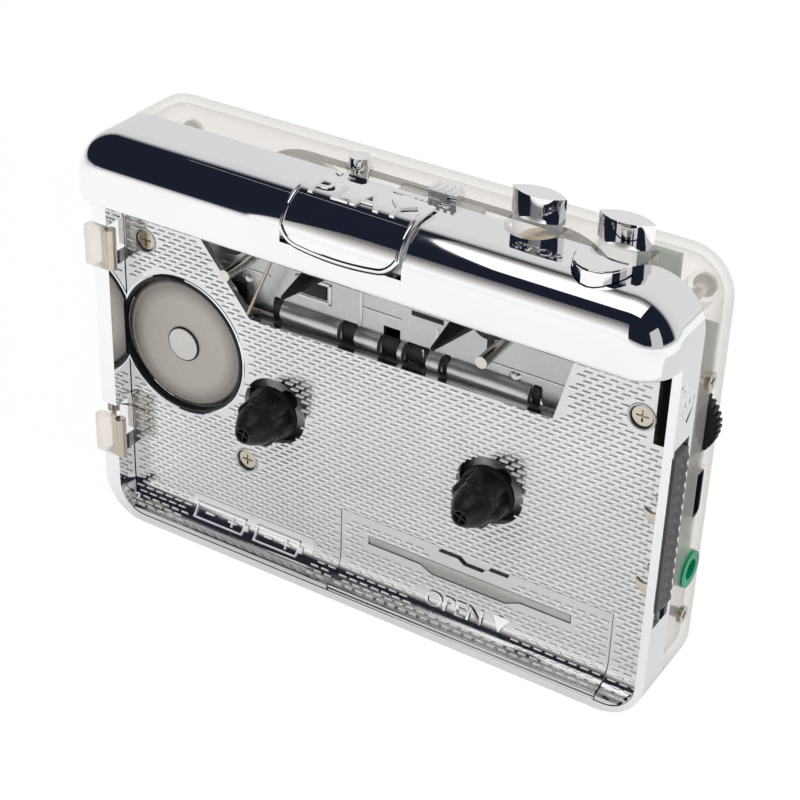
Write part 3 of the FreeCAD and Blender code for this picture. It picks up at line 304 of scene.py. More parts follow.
def keep(piece, name, body, finish, sharp=35):
    """The last step for every piece: its place, smoothing, finish and body."""
    fix_place(piece)
    bpy.ops.object.shade_smooth_by_angle(angle=math.radians(sharp))
    piece.name = name
    piece.data.name = name
    piece.data.materials.clear()
    piece.data.materials.append(finish)
    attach(piece, body)
    return piece


def spot(axis, first, second, depth):
    """A place in metres from two numbers across a plane and one along its axis."""
    return {
        "x": Vector((depth, first, second)),
        "y": Vector((first, depth, second)),
        "z": Vector((first, second, depth)),
    }[axis] * MM


def slab(outline, axis, low, high, round_by=0.0, segments=2):
    fresh()
    bpy.ops.mesh.primitive_circle_add(vertices=len(outline), radius=MM, fill_type="NGON")
    piece = bpy.context.active_object
    for vertex, (first, second) in zip(piece.data.vertices, outline):
        vertex.co = spot(axis, first, second, low)
    rise = spot(axis, 0, 0, high - low)
    edit(
        piece,
        lambda: bpy.ops.mesh.extrude_region_move(TRANSFORM_OT_translate={"value": rise}),
        outward,
    )
    if round_by:
        soften(piece, round_by, segments)
    return piece


def oblong(low, high):
    return [low, (high[0], low[1]), high, (low[0], high[1])]


def block(low, high, round_by=0.0, segments=2):
    return slab(oblong(low[:2], high[:2]), "z", low[2], high[2], round_by, segments)


def turned(section, centre, facing="front", steps=64):
    """A lathe-turned ring or knob. Its section is a closed loop of (radius, forward) points."""
    fresh()
    bpy.ops.mesh.primitive_circle_add(vertices=len(section), radius=MM)
    piece = bpy.context.active_object
    for vertex, (radius, forward) in zip(piece.data.vertices, section):
        vertex.co = Vector((radius, 0, forward)) * MM
    shape(piece, "SCREW", steps=steps, render_steps=steps, use_merge_vertices=True,
          merge_threshold=WELD_GAP)
    edit(piece, weld, outward)
    turn = {"front": (math.pi / 2, 0, 0), "up": (0, 0, 0), "right": (0, math.pi / 2, 0)}[facing]
    piece.rotation_euler = turn
    piece.location = Vector(centre) * MM
    fix_place(piece)
    return piece


def coil(centre, radius, wire, tall, turns, end_radius=None, facing="up"):
    """A spring wound round its axis, starting at centre."""
    fresh()
    bpy.ops.mesh.primitive_circle_add(vertices=8, radius=wire * MM, rotation=(math.pi / 2, 0, 0))
    piece = bpy.context.active_object
    fix_place(piece)
    for vertex in piece.data.vertices:
        vertex.co.x += radius * MM
    shape(piece, "SCREW", angle=2 * math.pi * turns, screw_offset=(tall - 2 * wire) * MM,
          steps=int(22 * turns), render_steps=int(22 * turns))
    if end_radius:
        for vertex in piece.data.vertices:
            share = vertex.co.z / ((tall - 2 * wire) * MM)
            factor = 1 + (end_radius / radius - 1) * share
            vertex.co.x *= factor
            vertex.co.y *= factor
    select_only(piece)
    bpy.ops.object.mode_set(mode="EDIT")
    bpy.ops.mesh.select_mode(type="EDGE")
    bpy.ops.mesh.select_all(action="DESELECT")
    bpy.ops.mesh.select_non_manifold()
    bpy.ops.mesh.edge_face_add()
    bpy.ops.object.mode_set(mode="OBJECT")
    edit(piece, outward)
    start = Vector((0, 0, wire))
    if facing == "right":
        piece.rotation_euler = (0, math.pi / 2, 0)
        start = Vector((wire, 0, 0))
    piece.location = Vector(centre) * MM + start * MM
    fix_place(piece)
    return piece


def wire_run(points, thick, sides=8):
    """A bent wire through the given points."""
    fresh()
    curve = bpy.data.curves.new("wire", "CURVE")
    curve.dimensions = "3D"
    spline = curve.splines.new("NURBS")
    spline.points.add(len(points) - 1)
    for place, point in zip(spline.points, points):
        place.co = (*(Vector(point) * MM), 1)
    spline.order_u = 3
    spline.use_endpoint_u = True
    curve.bevel_depth = thick * MM
    curve.bevel_resolution = max(0, sides // 4 - 1)
    curve.use_fill_caps = True
    piece = bpy.data.objects.new("wire", curve)
    bpy.context.collection.objects.link(piece)
    select_only(piece)
    bpy.ops.object.convert(target="MESH")
    return bpy.context.active_object


def lettering(words, tall, raise_by=0.15, wide=1.0, space=1.0):
    """Raised letters lying flat, centred on the origin, ready to be turned and placed."""
    fresh()
    bpy.ops.object.text_add()
    text = bpy.context.active_object
    text.data.body = words
    text.data.size = tall * 1.4 * MM
    text.data.extrude = raise_by * MM
    text.data.bevel_depth = 0.05 * MM
    text.data.resolution_u = 3
    text.data.space_character = space
    text.data.align_x = "CENTER"
    text.data.align_y = "CENTER"
    bpy.ops.object.convert(target="MESH")
    piece = bpy.context.active_object
    for vertex in piece.data.vertices:
        vertex.co.x *= wide
    return piece


def lay(piece, across, up, place):
    """Turns flat work so its x runs along across and its y along up, and puts it at place."""
    across = Vector(across)
    up = Vector(up)
    turn = Matrix((across, up, across.cross(up))).transposed().to_4x4()
    piece.matrix_world = Matrix.Translation(Vector(place) * MM) @ turn
    fix_place(piece)
    return piece


# --- the well's woven relief --------------------------------------------------------------------

BRICK_PITCH = 2.2
BRICK_ROW = 0.88
BRICK_PROUD = 0.26
BRICK_WIDE = 1.72
BRICK_TALL = 0.5
BRICK_CORNERS = 8
COVE = 4.2
WELL_COVE_Z = 6.7
FLAP_COVE_Z = 6.95


def bend_on_cove(piece, cove_z):
    """Bends flat work lying in the well's plane on to the cove at its foot."""
    for vertex in piece.data.vertices:
        below = cove_z - vertex.co.z / MM
        if below > 0:
            angle = below / COVE
            reach = COVE + vertex.co.y / MM
            vertex.co.y = (reach * math.cos(angle) - COVE) * MM
            vertex.co.z = (cove_z - reach * math.sin(angle)) * MM


def bricks(name, low, high, wanted, cove_z, body):
    """Staggered rows of raised bricks, kept where wanted(across, height) is true."""
    fresh()
    bpy.ops.mesh.primitive_cube_add(size=MM, location=(0, -BRICK_PROUD / 2 * MM, 0),
                                    scale=(BRICK_WIDE, BRICK_PROUD, BRICK_TALL))
    piece = bpy.context.active_object
    fix_place(piece)
    for face in piece.data.polygons:
        face.select = face.normal.y < -0.9
    bpy.ops.object.mode_set(mode="EDIT")
    bpy.ops.mesh.select_mode(type="FACE")
    bpy.ops.transform.resize(value=(0.82, 1, 0.5))
    bpy.ops.object.mode_set(mode="OBJECT")
    columns = int((high[0] - low[0]) / BRICK_PITCH)
    rows = int((high[1] - low[1]) / BRICK_ROW / 2)
    steps = ((columns, (BRICK_PITCH, 0, 0)), (2, (BRICK_PITCH / 2, 0, BRICK_ROW)),
             (rows, (0, 0, 2 * BRICK_ROW)))
    for count, offset in steps:
        shape(piece, "ARRAY", count=count, use_relative_offset=False, use_constant_offset=True,
              constant_offset_displace=[part * MM for part in offset])
    vertices = piece.data.vertices
    for first in range(0, len(vertices), BRICK_CORNERS):
        group = [vertices[first + n] for n in range(BRICK_CORNERS)]
        for vertex in group:
            vertex.co.x += (low[0] + 1.0) * MM
            vertex.co.z += (low[1] + 0.4) * MM
        across = sum(vertex.co.x for vertex in group) / BRICK_CORNERS / MM
        height = sum(vertex.co.z for vertex in group) / BRICK_CORNERS / MM
        for vertex in group:
            vertex.select = not wanted(across, height)
    for face in piece.data.polygons:
        face.select = all(vertices[n].select for n in face.vertices)
    bpy.ops.object.mode_set(mode="EDIT")
    bpy.ops.mesh.delete(type="FACE")
    bpy.ops.object.mode_set(mode="OBJECT")
    bend_on_cove(piece, cove_z)
    return keep(piece, name, body, BRICK_SILVER_PAINTED_HIGHLIGHT, 20)


def beside_window(x, z):
    """True below and beside the slanted window under the hood."""
    if z < 47.4:
        return True
    lift = max(0.0, min(1.0, (z - 47.8) / 12.2))
    left = -27.6 - lift * 9.6
    right = 33.0 + lift * 2.4
    return x < left or x > right or z < 47.8 + (x + 26) * 0.019 - 0.2


def on_plate(x, z):
    flap = -8.2 < x < 46.2 and z < 16.8
    motor = math.hypot(x - MOTOR_X, z - MOTOR_Z) < 14.2
    reel = min(math.hypot(x - side * REEL_X, z - REEL_Z) for side in (-1, 1)) < 6.4
    screw = min(math.hypot(x - across, z - up) for across, up in PLATE_SCREWS) < 2.7
    label = -39.6 < x < -12.4 and z < 7.7
    recess = x > 47.6 and 49.4 < z < 63.6
    return beside_window(x, z) and not (flap or motor or reel or screw or label or recess)


def on_flap(x, z):
    groove = 9.2 < z < 13.5 and -2.6 < x < 38.8
    word = 8.0 < x < 28.4 and 2.6 < z < 7.2
    notch = 10.8 < x < 27.4 and z > 13.4
    return not (groove or word or notch)


bricks("well_relief", (-52.2, 0.6), (51.4, 66.4), on_plate, WELL_COVE_Z, "case")
bricks("flap_relief", (-6.6, 0.8), (44.8, 16.2), on_flap, FLAP_COVE_Z, "flap")

sill = slab(oblong((-7.0, 1.46), (45.2, 1.84)), "y", -4.4, -2.6, 0.08)
keep(sill, "flap_sill", "case", CHROME)

groove_bar = slab(
    [(-1.4, 12.7), (8.9, 12.7), (37.7, 12.7), (37.7, 11.3), (28.3, 11.3), (25.7, 10.1), (11.3, 10.1),
     (8.7, 11.3), (-1.4, 11.3)], "y", 0.08, 0.34, 0.08)
keep(groove_bar, "flap_groove_bar", "flap", GROOVE_GREY)


def on_cove(name, outline, proud, cuts, finish=SMOOTH_SILVER):
    """A raised shape on the cove at the foot of the plate, cut finely enough to bend."""
    piece = slab(outline, "y", -proud, 0.05)
    edit(piece, lambda: bpy.ops.mesh.subdivide(number_cuts=cuts))
    bend_on_cove(piece, WELL_COVE_Z)
    return keep(piece, name, "case", finish, 50)


# a plain panel in the cove with the outlines of two round cells and their signs
on_cove("label_panel", oblong((-39.2, 0.3), (-12.8, 7.4)), 0.06, 9)
LABEL_BARS = [
    ((-38.2, 5.6), (-27.4, 5.9)), ((-38.2, 2.7), (-27.4, 3.0)), ((-38.2, 2.7), (-37.9, 5.9)),
    ((-27.7, 2.7), (-27.4, 5.9)), ((-27.4, 3.7), (-26.6, 4.9)), ((-25.0, 5.6), (-15.6, 5.9)),
    ((-25.0, 2.7), (-15.6, 3.0)), ((-25.0, 2.7), (-24.7, 5.9)), ((-15.9, 2.7), (-15.6, 5.9)),
    ((-15.6, 3.7), (-14.8, 4.9)), ((-36.0, 4.1), (-34.2, 4.5)), ((-31.0, 4.1), (-29.2, 4.5)),
    ((-30.25, 3.4), (-29.95, 5.2)), ((-23.0, 4.1), (-21.4, 4.5)), ((-19.2, 4.1), (-17.4, 4.5)),
    ((-18.45, 3.4), (-18.15, 5.2)),
]
for number, (low, high) in enumerate(LABEL_BARS, start=1):
    on_cove(f"label_line_{number}", oblong(low, high), 0.34, 3, BRICK_SILVER_PAINTED_HIGHLIGHT)


word = lettering("OPEN", 2.8, 0.14, 1.15)
lay(word, (1, 0, 0), (0, 0, 1), (16.2, -0.05, 5.2))
bend_on_cove(word, FLAP_COVE_Z)
keep(word, "flap_word", "flap", SMOOTH_SILVER, 20)
pointer = slab([(23.6, 6.6), (25.2, 4.0), (26.8, 6.6), (26.8, 7.0), (23.6, 7.0)], "y", -0.2, 0.02)
bend_on_cove(pointer, FLAP_COVE_Z)
keep(pointer, "flap_pointer", "flap", SMOOTH_SILVER, 20)

# --- hinge side and motor -----------------------------------------------------------------------

MOTOR_AXIS = (MOTOR_X, 0, MOTOR_Z)
# a black band between the motor and the edge of its hole, painted shade
rim = turned([(12.5, 0.3), (12.9, 0.34), (13.0, 0.1), (13.0, -1.1), (12.5, -1.1)], MOTOR_AXIS)
keep(rim, "motor_rim_shade", "case", SATIN_BLACK)
lip = turned([(13.02, 0.1), (13.25, 0.22), (13.5, 0.1), (13.5, -0.1), (13.02, -0.1)], MOTOR_AXIS)
keep(lip, "motor_hole_lip", "case", CHROME)
step_ring = turned([(10.9, -0.72), (11.15, -0.6), (11.6, -0.6), (11.85, -0.72)], MOTOR_AXIS)
keep(step_ring, "motor_step_ring", "case", MOTOR)
# a black band round the boss, painted shade in its groove
boss_groove_shade = turned([(3.02, -0.72), (3.02, -0.42), (3.28, -0.5), (3.3, -0.72)], MOTOR_AXIS)
keep(boss_groove_shade, "motor_boss_groove_shade", "case", SATIN_BLACK)

HINGE_X = -54.6
HINGE_Y = -3.1
door_coil = coil((HINGE_X, HINGE_Y, 21.2), 0.95, 0.16, 2.0, 5)
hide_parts("door_spring")
keep(door_coil, "door_coil", "case", NICKEL)
leg = wire_run([(HINGE_X + 0.9, HINGE_Y, 22.9), (HINGE_X + 2.4, HINGE_Y + 0.4, 23.1),
                (HINGE_X + 3.6, HINGE_Y + 1.6, 22.6), (HINGE_X + 5.6, HINGE_Y + 2.2, 21.8)], 0.17)
keep(leg, "door_coil_leg", "case", NICKEL)

for number, (low, high) in enumerate(((13.1, 20.9), (51.4, 59.1)), start=1):
    face = block((-57.2, -5.5, low), (-52.0, -3.6, high), 0.4, 3)
    keep(face, f"knuckle_face_{number}", "door", CLEAR_KNUCKLE)
    tall = high - low
    bar = turned([(0.0, tall), (0.9, tall), (1.0, tall - 0.1), (1.0, 0.1), (0.9, 0.0), (0.0, 0.0)],
                 (-52.2, -4.3, low), "up", 24)
    keep(bar, f"knuckle_bar_{number}", "door", NICKEL)

# --- play key -----------------------------------------------------------------------------------

PLAY_LEFT = -12.1
PLAY_RIGHT = 9.6
KEY_BACK = -3.5
BEND_Y = -4.7
BEND_Z = 72.3
KEY_ROUND = 7.45
KEY_CORNER = 3.4
BEZEL_ROUND = 7.26
KEY_LOW = 12.2
KEY_BOW = 1.3
BEZEL_INSET = 0.4
BEZEL_TOP = KEY_BACK + 0.3
BEZEL_DOWN = 8.0


def on_key(across, run, radius=KEY_ROUND):
    """A place on the key's bent skin, in metres. run is 0 where the top begins to bend down."""
    quarter = radius * math.pi / 2
    if run < 0:
        return Vector((across, BEND_Y - run, BEND_Z + radius)) * MM
    if run > quarter:
        return Vector((across, BEND_Y - radius, BEND_Z - (run - quarter))) * MM
    angle = run / radius
    return Vector((across, BEND_Y - radius * math.sin(angle), BEND_Z + radius * math.cos(angle))) * MM


def key_end(share):
    """The run where the skin ends at a share of its width: bowed, with rounded corners."""
    across = PLAY_LEFT + share * (PLAY_RIGHT - PLAY_LEFT)
    inset = min(across - PLAY_LEFT, PLAY_RIGHT - across)
    corner = 0.0
    if inset < KEY_CORNER:
        corner = KEY_CORNER - math.sqrt(max(0.0, KEY_CORNER**2 - (KEY_CORNER - inset) ** 2))
    return KEY_LOW - KEY_BOW * (2 * share - 1) ** 2 - corner


fresh()
bpy.ops.mesh.primitive_grid_add(x_subdivisions=56, y_subdivisions=44, size=1)
key = bpy.context.active_object
for vertex in key.data.vertices:
    share = vertex.co.x + 0.5
    share = 0.5 - 0.5 * math.cos(math.pi * share)
    down = 0.5 - vertex.co.y
    run = KEY_BACK + down * (key_end(share) - KEY_BACK)
    vertex.co = on_key(PLAY_LEFT + share * (PLAY_RIGHT - PLAY_LEFT), run)
edit(key, outward)
shape(key, "SOLIDIFY", thickness=0.0007, offset=-1)
edit(key, outward)
soften(key, 0.22, 2, 50)
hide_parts("play_button")
keep(key, "play_key", "play_key", KEY_CHROME, 40)

# the bezel's wire goes down the left side, along the bowed lower edge and up the right side
lower_edge = []
for step in range(41):
    share = 0.5 - 0.5 * math.cos(math.pi * step / 40)
    share = 0.018 + share * 0.964
    across = PLAY_LEFT + share * (PLAY_RIGHT - PLAY_LEFT)
    lower_edge.append(on_key(across, key_end(share) - 0.35, BEZEL_ROUND) / MM)
side_runs = [BEZEL_TOP + step * (BEZEL_DOWN - KEY_BACK) / 9 for step in range(10)]
left_side, right_side = ([on_key(across, run, BEZEL_ROUND) / MM for run in side_runs]
                         for across in (PLAY_LEFT + BEZEL_INSET, PLAY_RIGHT - BEZEL_INSET))
right_side.reverse()
bezel = wire_run(left_side + lower_edge + right_side, 0.48, 12)
keep(bezel, "play_bezel", "play_key", KEY_CHROME, 60)

# a black line under the bezel, painted shadow, which stops short of its two upper ends
bezel_shadow_points = [Vector((point.x, point.y + 0.05, point.z - 0.5))
               for point in left_side[2:] + lower_edge + right_side[:-2]]
bezel_shadow_line = wire_run(bezel_shadow_points, 0.3, 10)
keep(bezel_shadow_line, "play_bezel_shadow_line", "play_key", SATIN_BLACK, 60)

stem = block((-10.6, -4.6, 72.4), (-8.4, -2.4, 79.4), 0.2)
keep(stem, "play_stem", "play_key", DARK)

play_word = lettering("PLAY", 4.0, 0.32, 1.3, 1.12)
for vertex in play_word.data.vertices:
    along = vertex.co.x / MM
    run = 1.0 - vertex.co.y / MM
    vertex.co = on_key(-1.2 + along, run, KEY_ROUND + 0.02 + vertex.co.z / MM)
keep(play_word, "play_word", "play_key", SMOOTH_SILVER, 20)

# --- top words and marks ------------------------------------------------------------------------

TOP = 78.8
stop_word = lettering("STOP", 1.9, 0.12, 1.25)
keep(lay(stop_word, (1, 0, 0), (0, 1, 0), (28.4, -3.4, TOP)), "stop_word", "case", CHROME,
     20)


# arrow heads to the left and to the right: half their length is negative where they point right
for name, x, half in (("reverse_mark_1", -9.8, 0.55), ("onward_mark_1", -7.2, -0.55)):
    outline = [(x - half, 1.5), (x + half, 1.5 + abs(half)), (x + half, 1.5 - abs(half))]
    arrow_head = slab(outline, "z", TOP - 0.05, TOP + 0.16, 0.05)
    keep(arrow_head, name, "case", CHROME)
for number, (low, high) in enumerate((((0.6, 1.0), (3.6, 1.9)), ((8.6, 1.0), (10.4, 1.9))), start=1):
    mark = block((*low, TOP - 0.05), (*high, TOP + 0.15), 0.1)
    keep(mark, f"mode_mark_{number}", "case", CHROME)
for number in range(4):
    dot = turned([(0.0, 0.14), (0.3, 0.08), (0.34, -0.1), (0.0, -0.1)],
                 (4.6 + number, 1.4, TOP), "up", 12)
    keep(dot, f"mode_dot_{number + 1}", "case", CHROME)

side_word = lettering("OPEN", 1.7, 0.1, 1.0)
keep(lay(side_word, (0, 1, 0), (0, 0, 1), (53.62, -1.0, 63.4)), "side_word", "case", CHROME,
     20)
for number in range(3):
    bar = slab(oblong((-2.6 + number * 1.5, 60.0), (-1.9 + number * 1.5, 62.0)), "x", 53.6, 53.78, 0.05)
    keep(bar, f"side_bar_{number + 1}", "case", CHROME)
tip = slab([(-2.9, 59.2), (1.6, 59.2), (-0.65, 56.4)], "x", 53.6, 53.76, 0.06)
keep(tip, "side_arrow", "case", CHROME)

# --- springs ------------------------------------------------------------------------------------

# key, place across and back, lower and upper end in millimetres, and travel in metres
KEY_SPRINGS = [
    ("play", (-9.5, -3.5), 67.8, 72.4, 0.0024), ("stop", (38.7, -4.6), 68.4, 71.4, 0.002),
    ("rewind", (24.1, 5.6), 68.1, 73.6, 0.002), ("forward", (38.7, 5.6), 68.1, 73.6, 0.002),
]
for key_name, (x, y), low, high, travel in KEY_SPRINGS:
    spring = coil((x, y, low), 1.3, 0.17, high - low, 5)
    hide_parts(f"{key_name}_spring")
    keep(spring, f"{key_name}_coil", "case", STEEL)
    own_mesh(spring)
latch_low, latch_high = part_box("latch_spring")
latch_tall = (latch_high[2] - latch_low[2]) / MM
latch_at = [(latch_low[n] + latch_high[n]) / 2 / MM for n in (0, 1)] + [latch_low[2] / MM]
latch = coil(latch_at, 0.45, 0.09, latch_tall, 6)
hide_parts("latch_spring")
keep(latch, "latch_coil", "case", STEEL)
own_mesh(latch)
cell_coil = coil((-50.6, 8.0, 10.1), 3.7, 0.24, 10.4, 5, 2.3, "right")
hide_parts("battery_spring")
keep(cell_coil, "cell_coil", "case", NICKEL)
cell_plate = block((-51.0, 3.6, 5.8), (-50.6, 12.4, 14.4), 0.12)
keep(cell_plate, "cell_plate", "case", NICKEL)

# --- reel spindles ------------------------------------------------------------------------------

SPINDLE = [(0.0, 1.0), (0.0, 8.6), (1.15, 8.6), (1.2, 9.4), (1.45, 9.5), (1.62, 9.4), (2.2, 8.6),
           (3.3, 6.7), (3.45, 6.2), (3.5, 5.9), (3.62, 5.7), (3.7, 4.0), (3.7, 1.0)]
FLANGE = [(1.5, 0.9), (4.2, 1.15), (4.85, 1.0), (4.9, 0.7), (4.9, 0.25), (1.5, 0.25)]
for side, reel in ((-1, "left"), (1, "right")):
    at = (side * REEL_X, 0, REEL_Z)
    spindle = turned(SPINDLE, at)
    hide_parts(f"reel_spindle_{reel}")
    keep(spindle, f"spindle_{reel}", f"reel_{reel}", BLACK, 40)
    keep(turned(FLANGE, at), f"spindle_flange_{reel}", f"reel_{reel}", BLACK, 40)
    for number in range(6):
        turn = math.radians(60 * number + 15)
        lobe = turned([(0.0, 0.9), (0.0, 5.3), (0.7, 5.15), (1.15, 4.7), (1.32, 4.0), (1.36, 0.9)],
                      (at[0] + 3.4 * math.cos(turn), 0, at[2] - 3.4 * math.sin(turn)), steps=28)
        keep(lobe, f"spindle_lobe_{reel}_{number + 1}", f"reel_{reel}", BLACK, 40)
    for number, turn in enumerate((20, 110), start=1):
        bar = slab(oblong((-1.15, -0.13), (1.15, 0.13)), "y", -9.3, -8.5, 0.04)
        bar.rotation_euler = (0, math.radians(turn), 0)
        bar.location = (at[0] * MM, 0, at[2] * MM)
        keep(bar, f"spindle_cross_{reel}_{number}", f"reel_{reel}", BLACK)

# --- chassis details ----------------------------------------------------------------------------

# black sheets behind the chassis, painted shade so its slots read as deep
SLOT_SHADE_BACKINGS = [((-32.6, 48.2), (34.6, 58.9)), ((-34.0, 58.9), (-26.4, 67.4)), ((-21.2, 58.9), (21.2, 67.4)),
            ((26.4, 58.9), (33.6, 67.4))]
for number, (low, high) in enumerate(SLOT_SHADE_BACKINGS, start=1):
    shade_backing = slab(oblong(low, high), "y", 5.5, 5.8, 0.1)
    keep(shade_backing, f"chassis_shade_backing_{number}", "case", SATIN_BLACK)

# the rolled lower edge: barrels, with black pieces between them as painted shade
BARREL_SECTION = [(3.9, 47.9), (3.0, 48.0), (2.1, 48.4), (1.5, 49.1), (1.35, 49.9), (1.6, 50.8),
                  (2.2, 51.4), (2.9, 51.7), (3.9, 51.8)]
BARREL_ENDS = [(-21.2, -9.6), (-6.4, -1.8), (1.9, 2.8), (7.4, 9.8), (11.4, 26.2)]
for number, (low, high) in enumerate(BARREL_ENDS, start=1):
    barrel = slab(BARREL_SECTION, "x", low, high, 0.12, 2)
    keep(barrel, f"chassis_barrel_{number}", "case", BARREL, 60)
GAP_SHADE_ENDS = [(-9.4, -6.6), (-1.6, 1.7), (3.0, 7.2), (10.0, 11.2), (-23.2, -21.4), (26.4, 27.8)]
for number, (low, high) in enumerate(GAP_SHADE_ENDS, start=1):
    gap_shade = slab([(2.5, 47.9), (2.45, 50.9), (2.92, 51.9), (2.92, 47.9)], "x", low, high, 0.08)
    keep(gap_shade, f"chassis_gap_shade_{number}", "case", SATIN_BLACK)

# the window's return flange, behind the plate's lower edge
ledge = slab([(-26.0, 46.6), (-26.0, 47.75), (31.4, 48.85), (31.4, 46.6)], "y", 1.25, 2.9, 0.1)
keep(ledge, "window_ledge", "case", SHEET)

# a pressed frame round one slot, and small steps in the sheet
PRESSINGS = [((-19.0, 53.6), (-11.8, 54.1)), ((-19.0, 57.1), (-11.8, 57.6)), ((-19.0, 53.6), (-18.5, 57.6)),
             ((-12.3, 53.6), (-11.8, 57.6)), ((-6.2, 51.9), (-5.7, 60.0)), ((-5.7, 55.2), (1.8, 55.6)),
             ((16.4, 53.0), (34.4, 53.4)), ((8.4, 50.4), (8.8, 56.0)), ((-34.0, 55.2), (-24.0, 55.6))]
for number, (low, high) in enumerate(PRESSINGS, start=1):
    pressing = slab(oblong(low, high), "y", 2.82, 3.05, 0.1)
    keep(pressing, f"chassis_pressing_{number}", "case", SHEET_BRIGHT)

# black blocks in the chassis slots, painted shade
SLOT_SHADES = [((-18.0, 54.4), (-12.8, 56.8)), ((3.6, 57.0), (9.6, 57.9)), ((17.6, 54.6), (19.0, 57.4)),
              ((-9.3, 58.4), (-8.4, 60.8)), ((28.5, 60.6), (34.0, 61.6)), ((-36.0, 49.8), (-29.2, 52.2)),
              ((-11.6, 58.2), (-9.6, 61.2)), ((15.6, 58.2), (18.0, 61.2))]
for number, (low, high) in enumerate(SLOT_SHADES, start=1):
    dark = slab(oblong(low, high), "y", 2.93, 3.5, 0.05)
    keep(dark, f"chassis_slot_shade_{number}", "case", SATIN_BLACK)

# the two pointed blades that a cassette slides over
BLADE_OUTLINE = [(11.9, 3.0), (12.6, -1.0), (13.7, -8.1), (13.9, -8.5), (14.3, -8.1), (16.2, 3.0)]
BLADE_TIP_Y = -8.5
BLADE_TIP_Z = 59.4
for side in (-1, 1):
    blade = slab([(side * across, y) for across, y in BLADE_OUTLINE], "z", 58.9, 60.6, 0.3, 3)
    if side < 0:
        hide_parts("locating_blades")
    for vertex in blade.data.vertices:
        reach = min(1.0, max(0.0, (vertex.co.y / MM - BLADE_TIP_Y) / 9))
        height = vertex.co.z / MM - BLADE_TIP_Z
        vertex.co.z = (BLADE_TIP_Z + height * (0.35 + 0.65 * reach)) * MM
    keep(blade, f"blade_{side + 2}", "case", SATIN_BLACK, 50)

# turned rims round the plate's screws
for number, (x, z) in enumerate(PLATE_SCREWS, start=1):
    collar = turned([(1.98, 0.12), (2.1, 0.22), (2.35, 0.18), (2.45, -0.05), (2.0, -0.6), (1.94, -0.6)],
                    (x, 0, z), steps=36)
    keep(collar, f"screw_collar_{number}", "case", SHEET)
    shadow = turned([(1.78, -0.55), (1.96, -0.5), (1.96, -0.85), (1.78, -0.85)], (x, 0, z), steps=36)
    keep(shadow, f"screw_shadow_{number}", "case", SATIN_BLACK)

# sheet-metal hooks of the door latch
for number, low in enumerate((24.6, 38.0), start=1):
    claw = slab([(52.3, low), (51.4, low - 0.1), (50.4, low + 0.25), (49.6, low + 0.95),
                 (49.25, low + 1.9), (49.3, low + 2.5), (50.0, low + 2.1), (50.7, low + 1.85),
                 (51.5, low + 2.0), (52.3, low + 2.3)], "y", -2.5, -1.75, 0.12)
    if number == 1:
        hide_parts("latch_hooks")
    keep(claw, f"latch_claw_{number}", "opener", NICKEL)

# grey mouldings seen through the clear back
INNER = [
    ([(-49, 58), (-49, 70), (-44, 74.5), (-37, 74.5), (-37, 72), (-31, 72), (-31, 74.5), (-22, 74.5),
      (-22, 70.6), (-14, 70.6), (-14, 68.4), (-36, 68.4), (-39, 58)], 7.6, 10.0, MID_GREY),
    ([(-12, 68.8), (-12, 71.0), (15, 71.0), (15, 69.8), (20, 69.8), (20, 68.8)], 9.0, 12.0, MID_GREY),
    ([(22, 69.2), (22, 71.4), (25, 73.4), (32, 73.4), (35, 71.4), (35, 69.2)], 9.2, 11.6, GREY_KNURL),
]
for number, (outline, front, back, finish) in enumerate(INNER, start=1):
    moulding = slab(outline, "y", front, back, 0.3)
    keep(moulding, f"inner_moulding_{number}", "case", finish)

for number, (x, z) in enumerate(((-28.8, 53.6), (23.0, 52.2)), start=1):
    dimple = turned([(0.0, 0.55), (0.5, 0.48), (0.9, 0.2), (1.15, -0.05), (0.0, -0.05)], (x, 3.0, z),
                    steps=28)
    keep(dimple, f"chassis_dimple_{number}", "case", SHEET_BRIGHT)
link_coil = coil((3.2, 3.4, 48.4), 0.8, 0.16, 2.4, 4, facing="right")
keep(link_coil, "link_coil", "case", STEEL)
link_leg = wire_run([(5.4, 3.4, 47.7), (6.2, 2.7, 48.6), (6.6, 2.5, 50.2), (6.2, 2.6, 51.6)], 0.15)
keep(link_leg, "link_leg", "case", STEEL)

# --- stage, light and camera --------------------------------------------------------------------


def stage_paint(name, tint, glow=0.0):
    material = bpy.data.materials.new(name)
    material.use_nodes = True
    shader = material.node_tree.nodes["Principled BSDF"]
    shader.inputs["Base Color"].default_value = (*tint, 1)
    shader.inputs["Roughness"].default_value = 0.9
    shader.inputs["Specular IOR Level"].default_value = 0.1
    if glow:
        shader.inputs["Emission Color"].default_value = (1, 1, 1, 1)
        shader.inputs["Emission Strength"].default_value = glow
    return material


def floor_paint():
    """A pale floor that is plain white where it is looked at directly."""
    material = stage_paint("floor_paint", (0.86, 0.86, 0.86))
    nodes = material.node_tree.nodes
    links = material.node_tree.links
    white = nodes.new("ShaderNodeEmission")
    ray = nodes.new("ShaderNodeLightPath")
    mix = nodes.new("ShaderNodeMixShader")
    links.new(ray.outputs["Is Camera Ray"], mix.inputs["Fac"])
    links.new(nodes["Principled BSDF"].outputs[0], mix.inputs[1])
    links.new(white.outputs[0], mix.inputs[2])
    links.new(mix.outputs[0], nodes["Material Output"].inputs["Surface"])
    return material


fresh()
bpy.ops.mesh.primitive_plane_add(size=6, location=(0, 0, -0.0002))
floor = bpy.context.active_object
floor.name = "floor"
floor.data.materials.append(floor_paint())


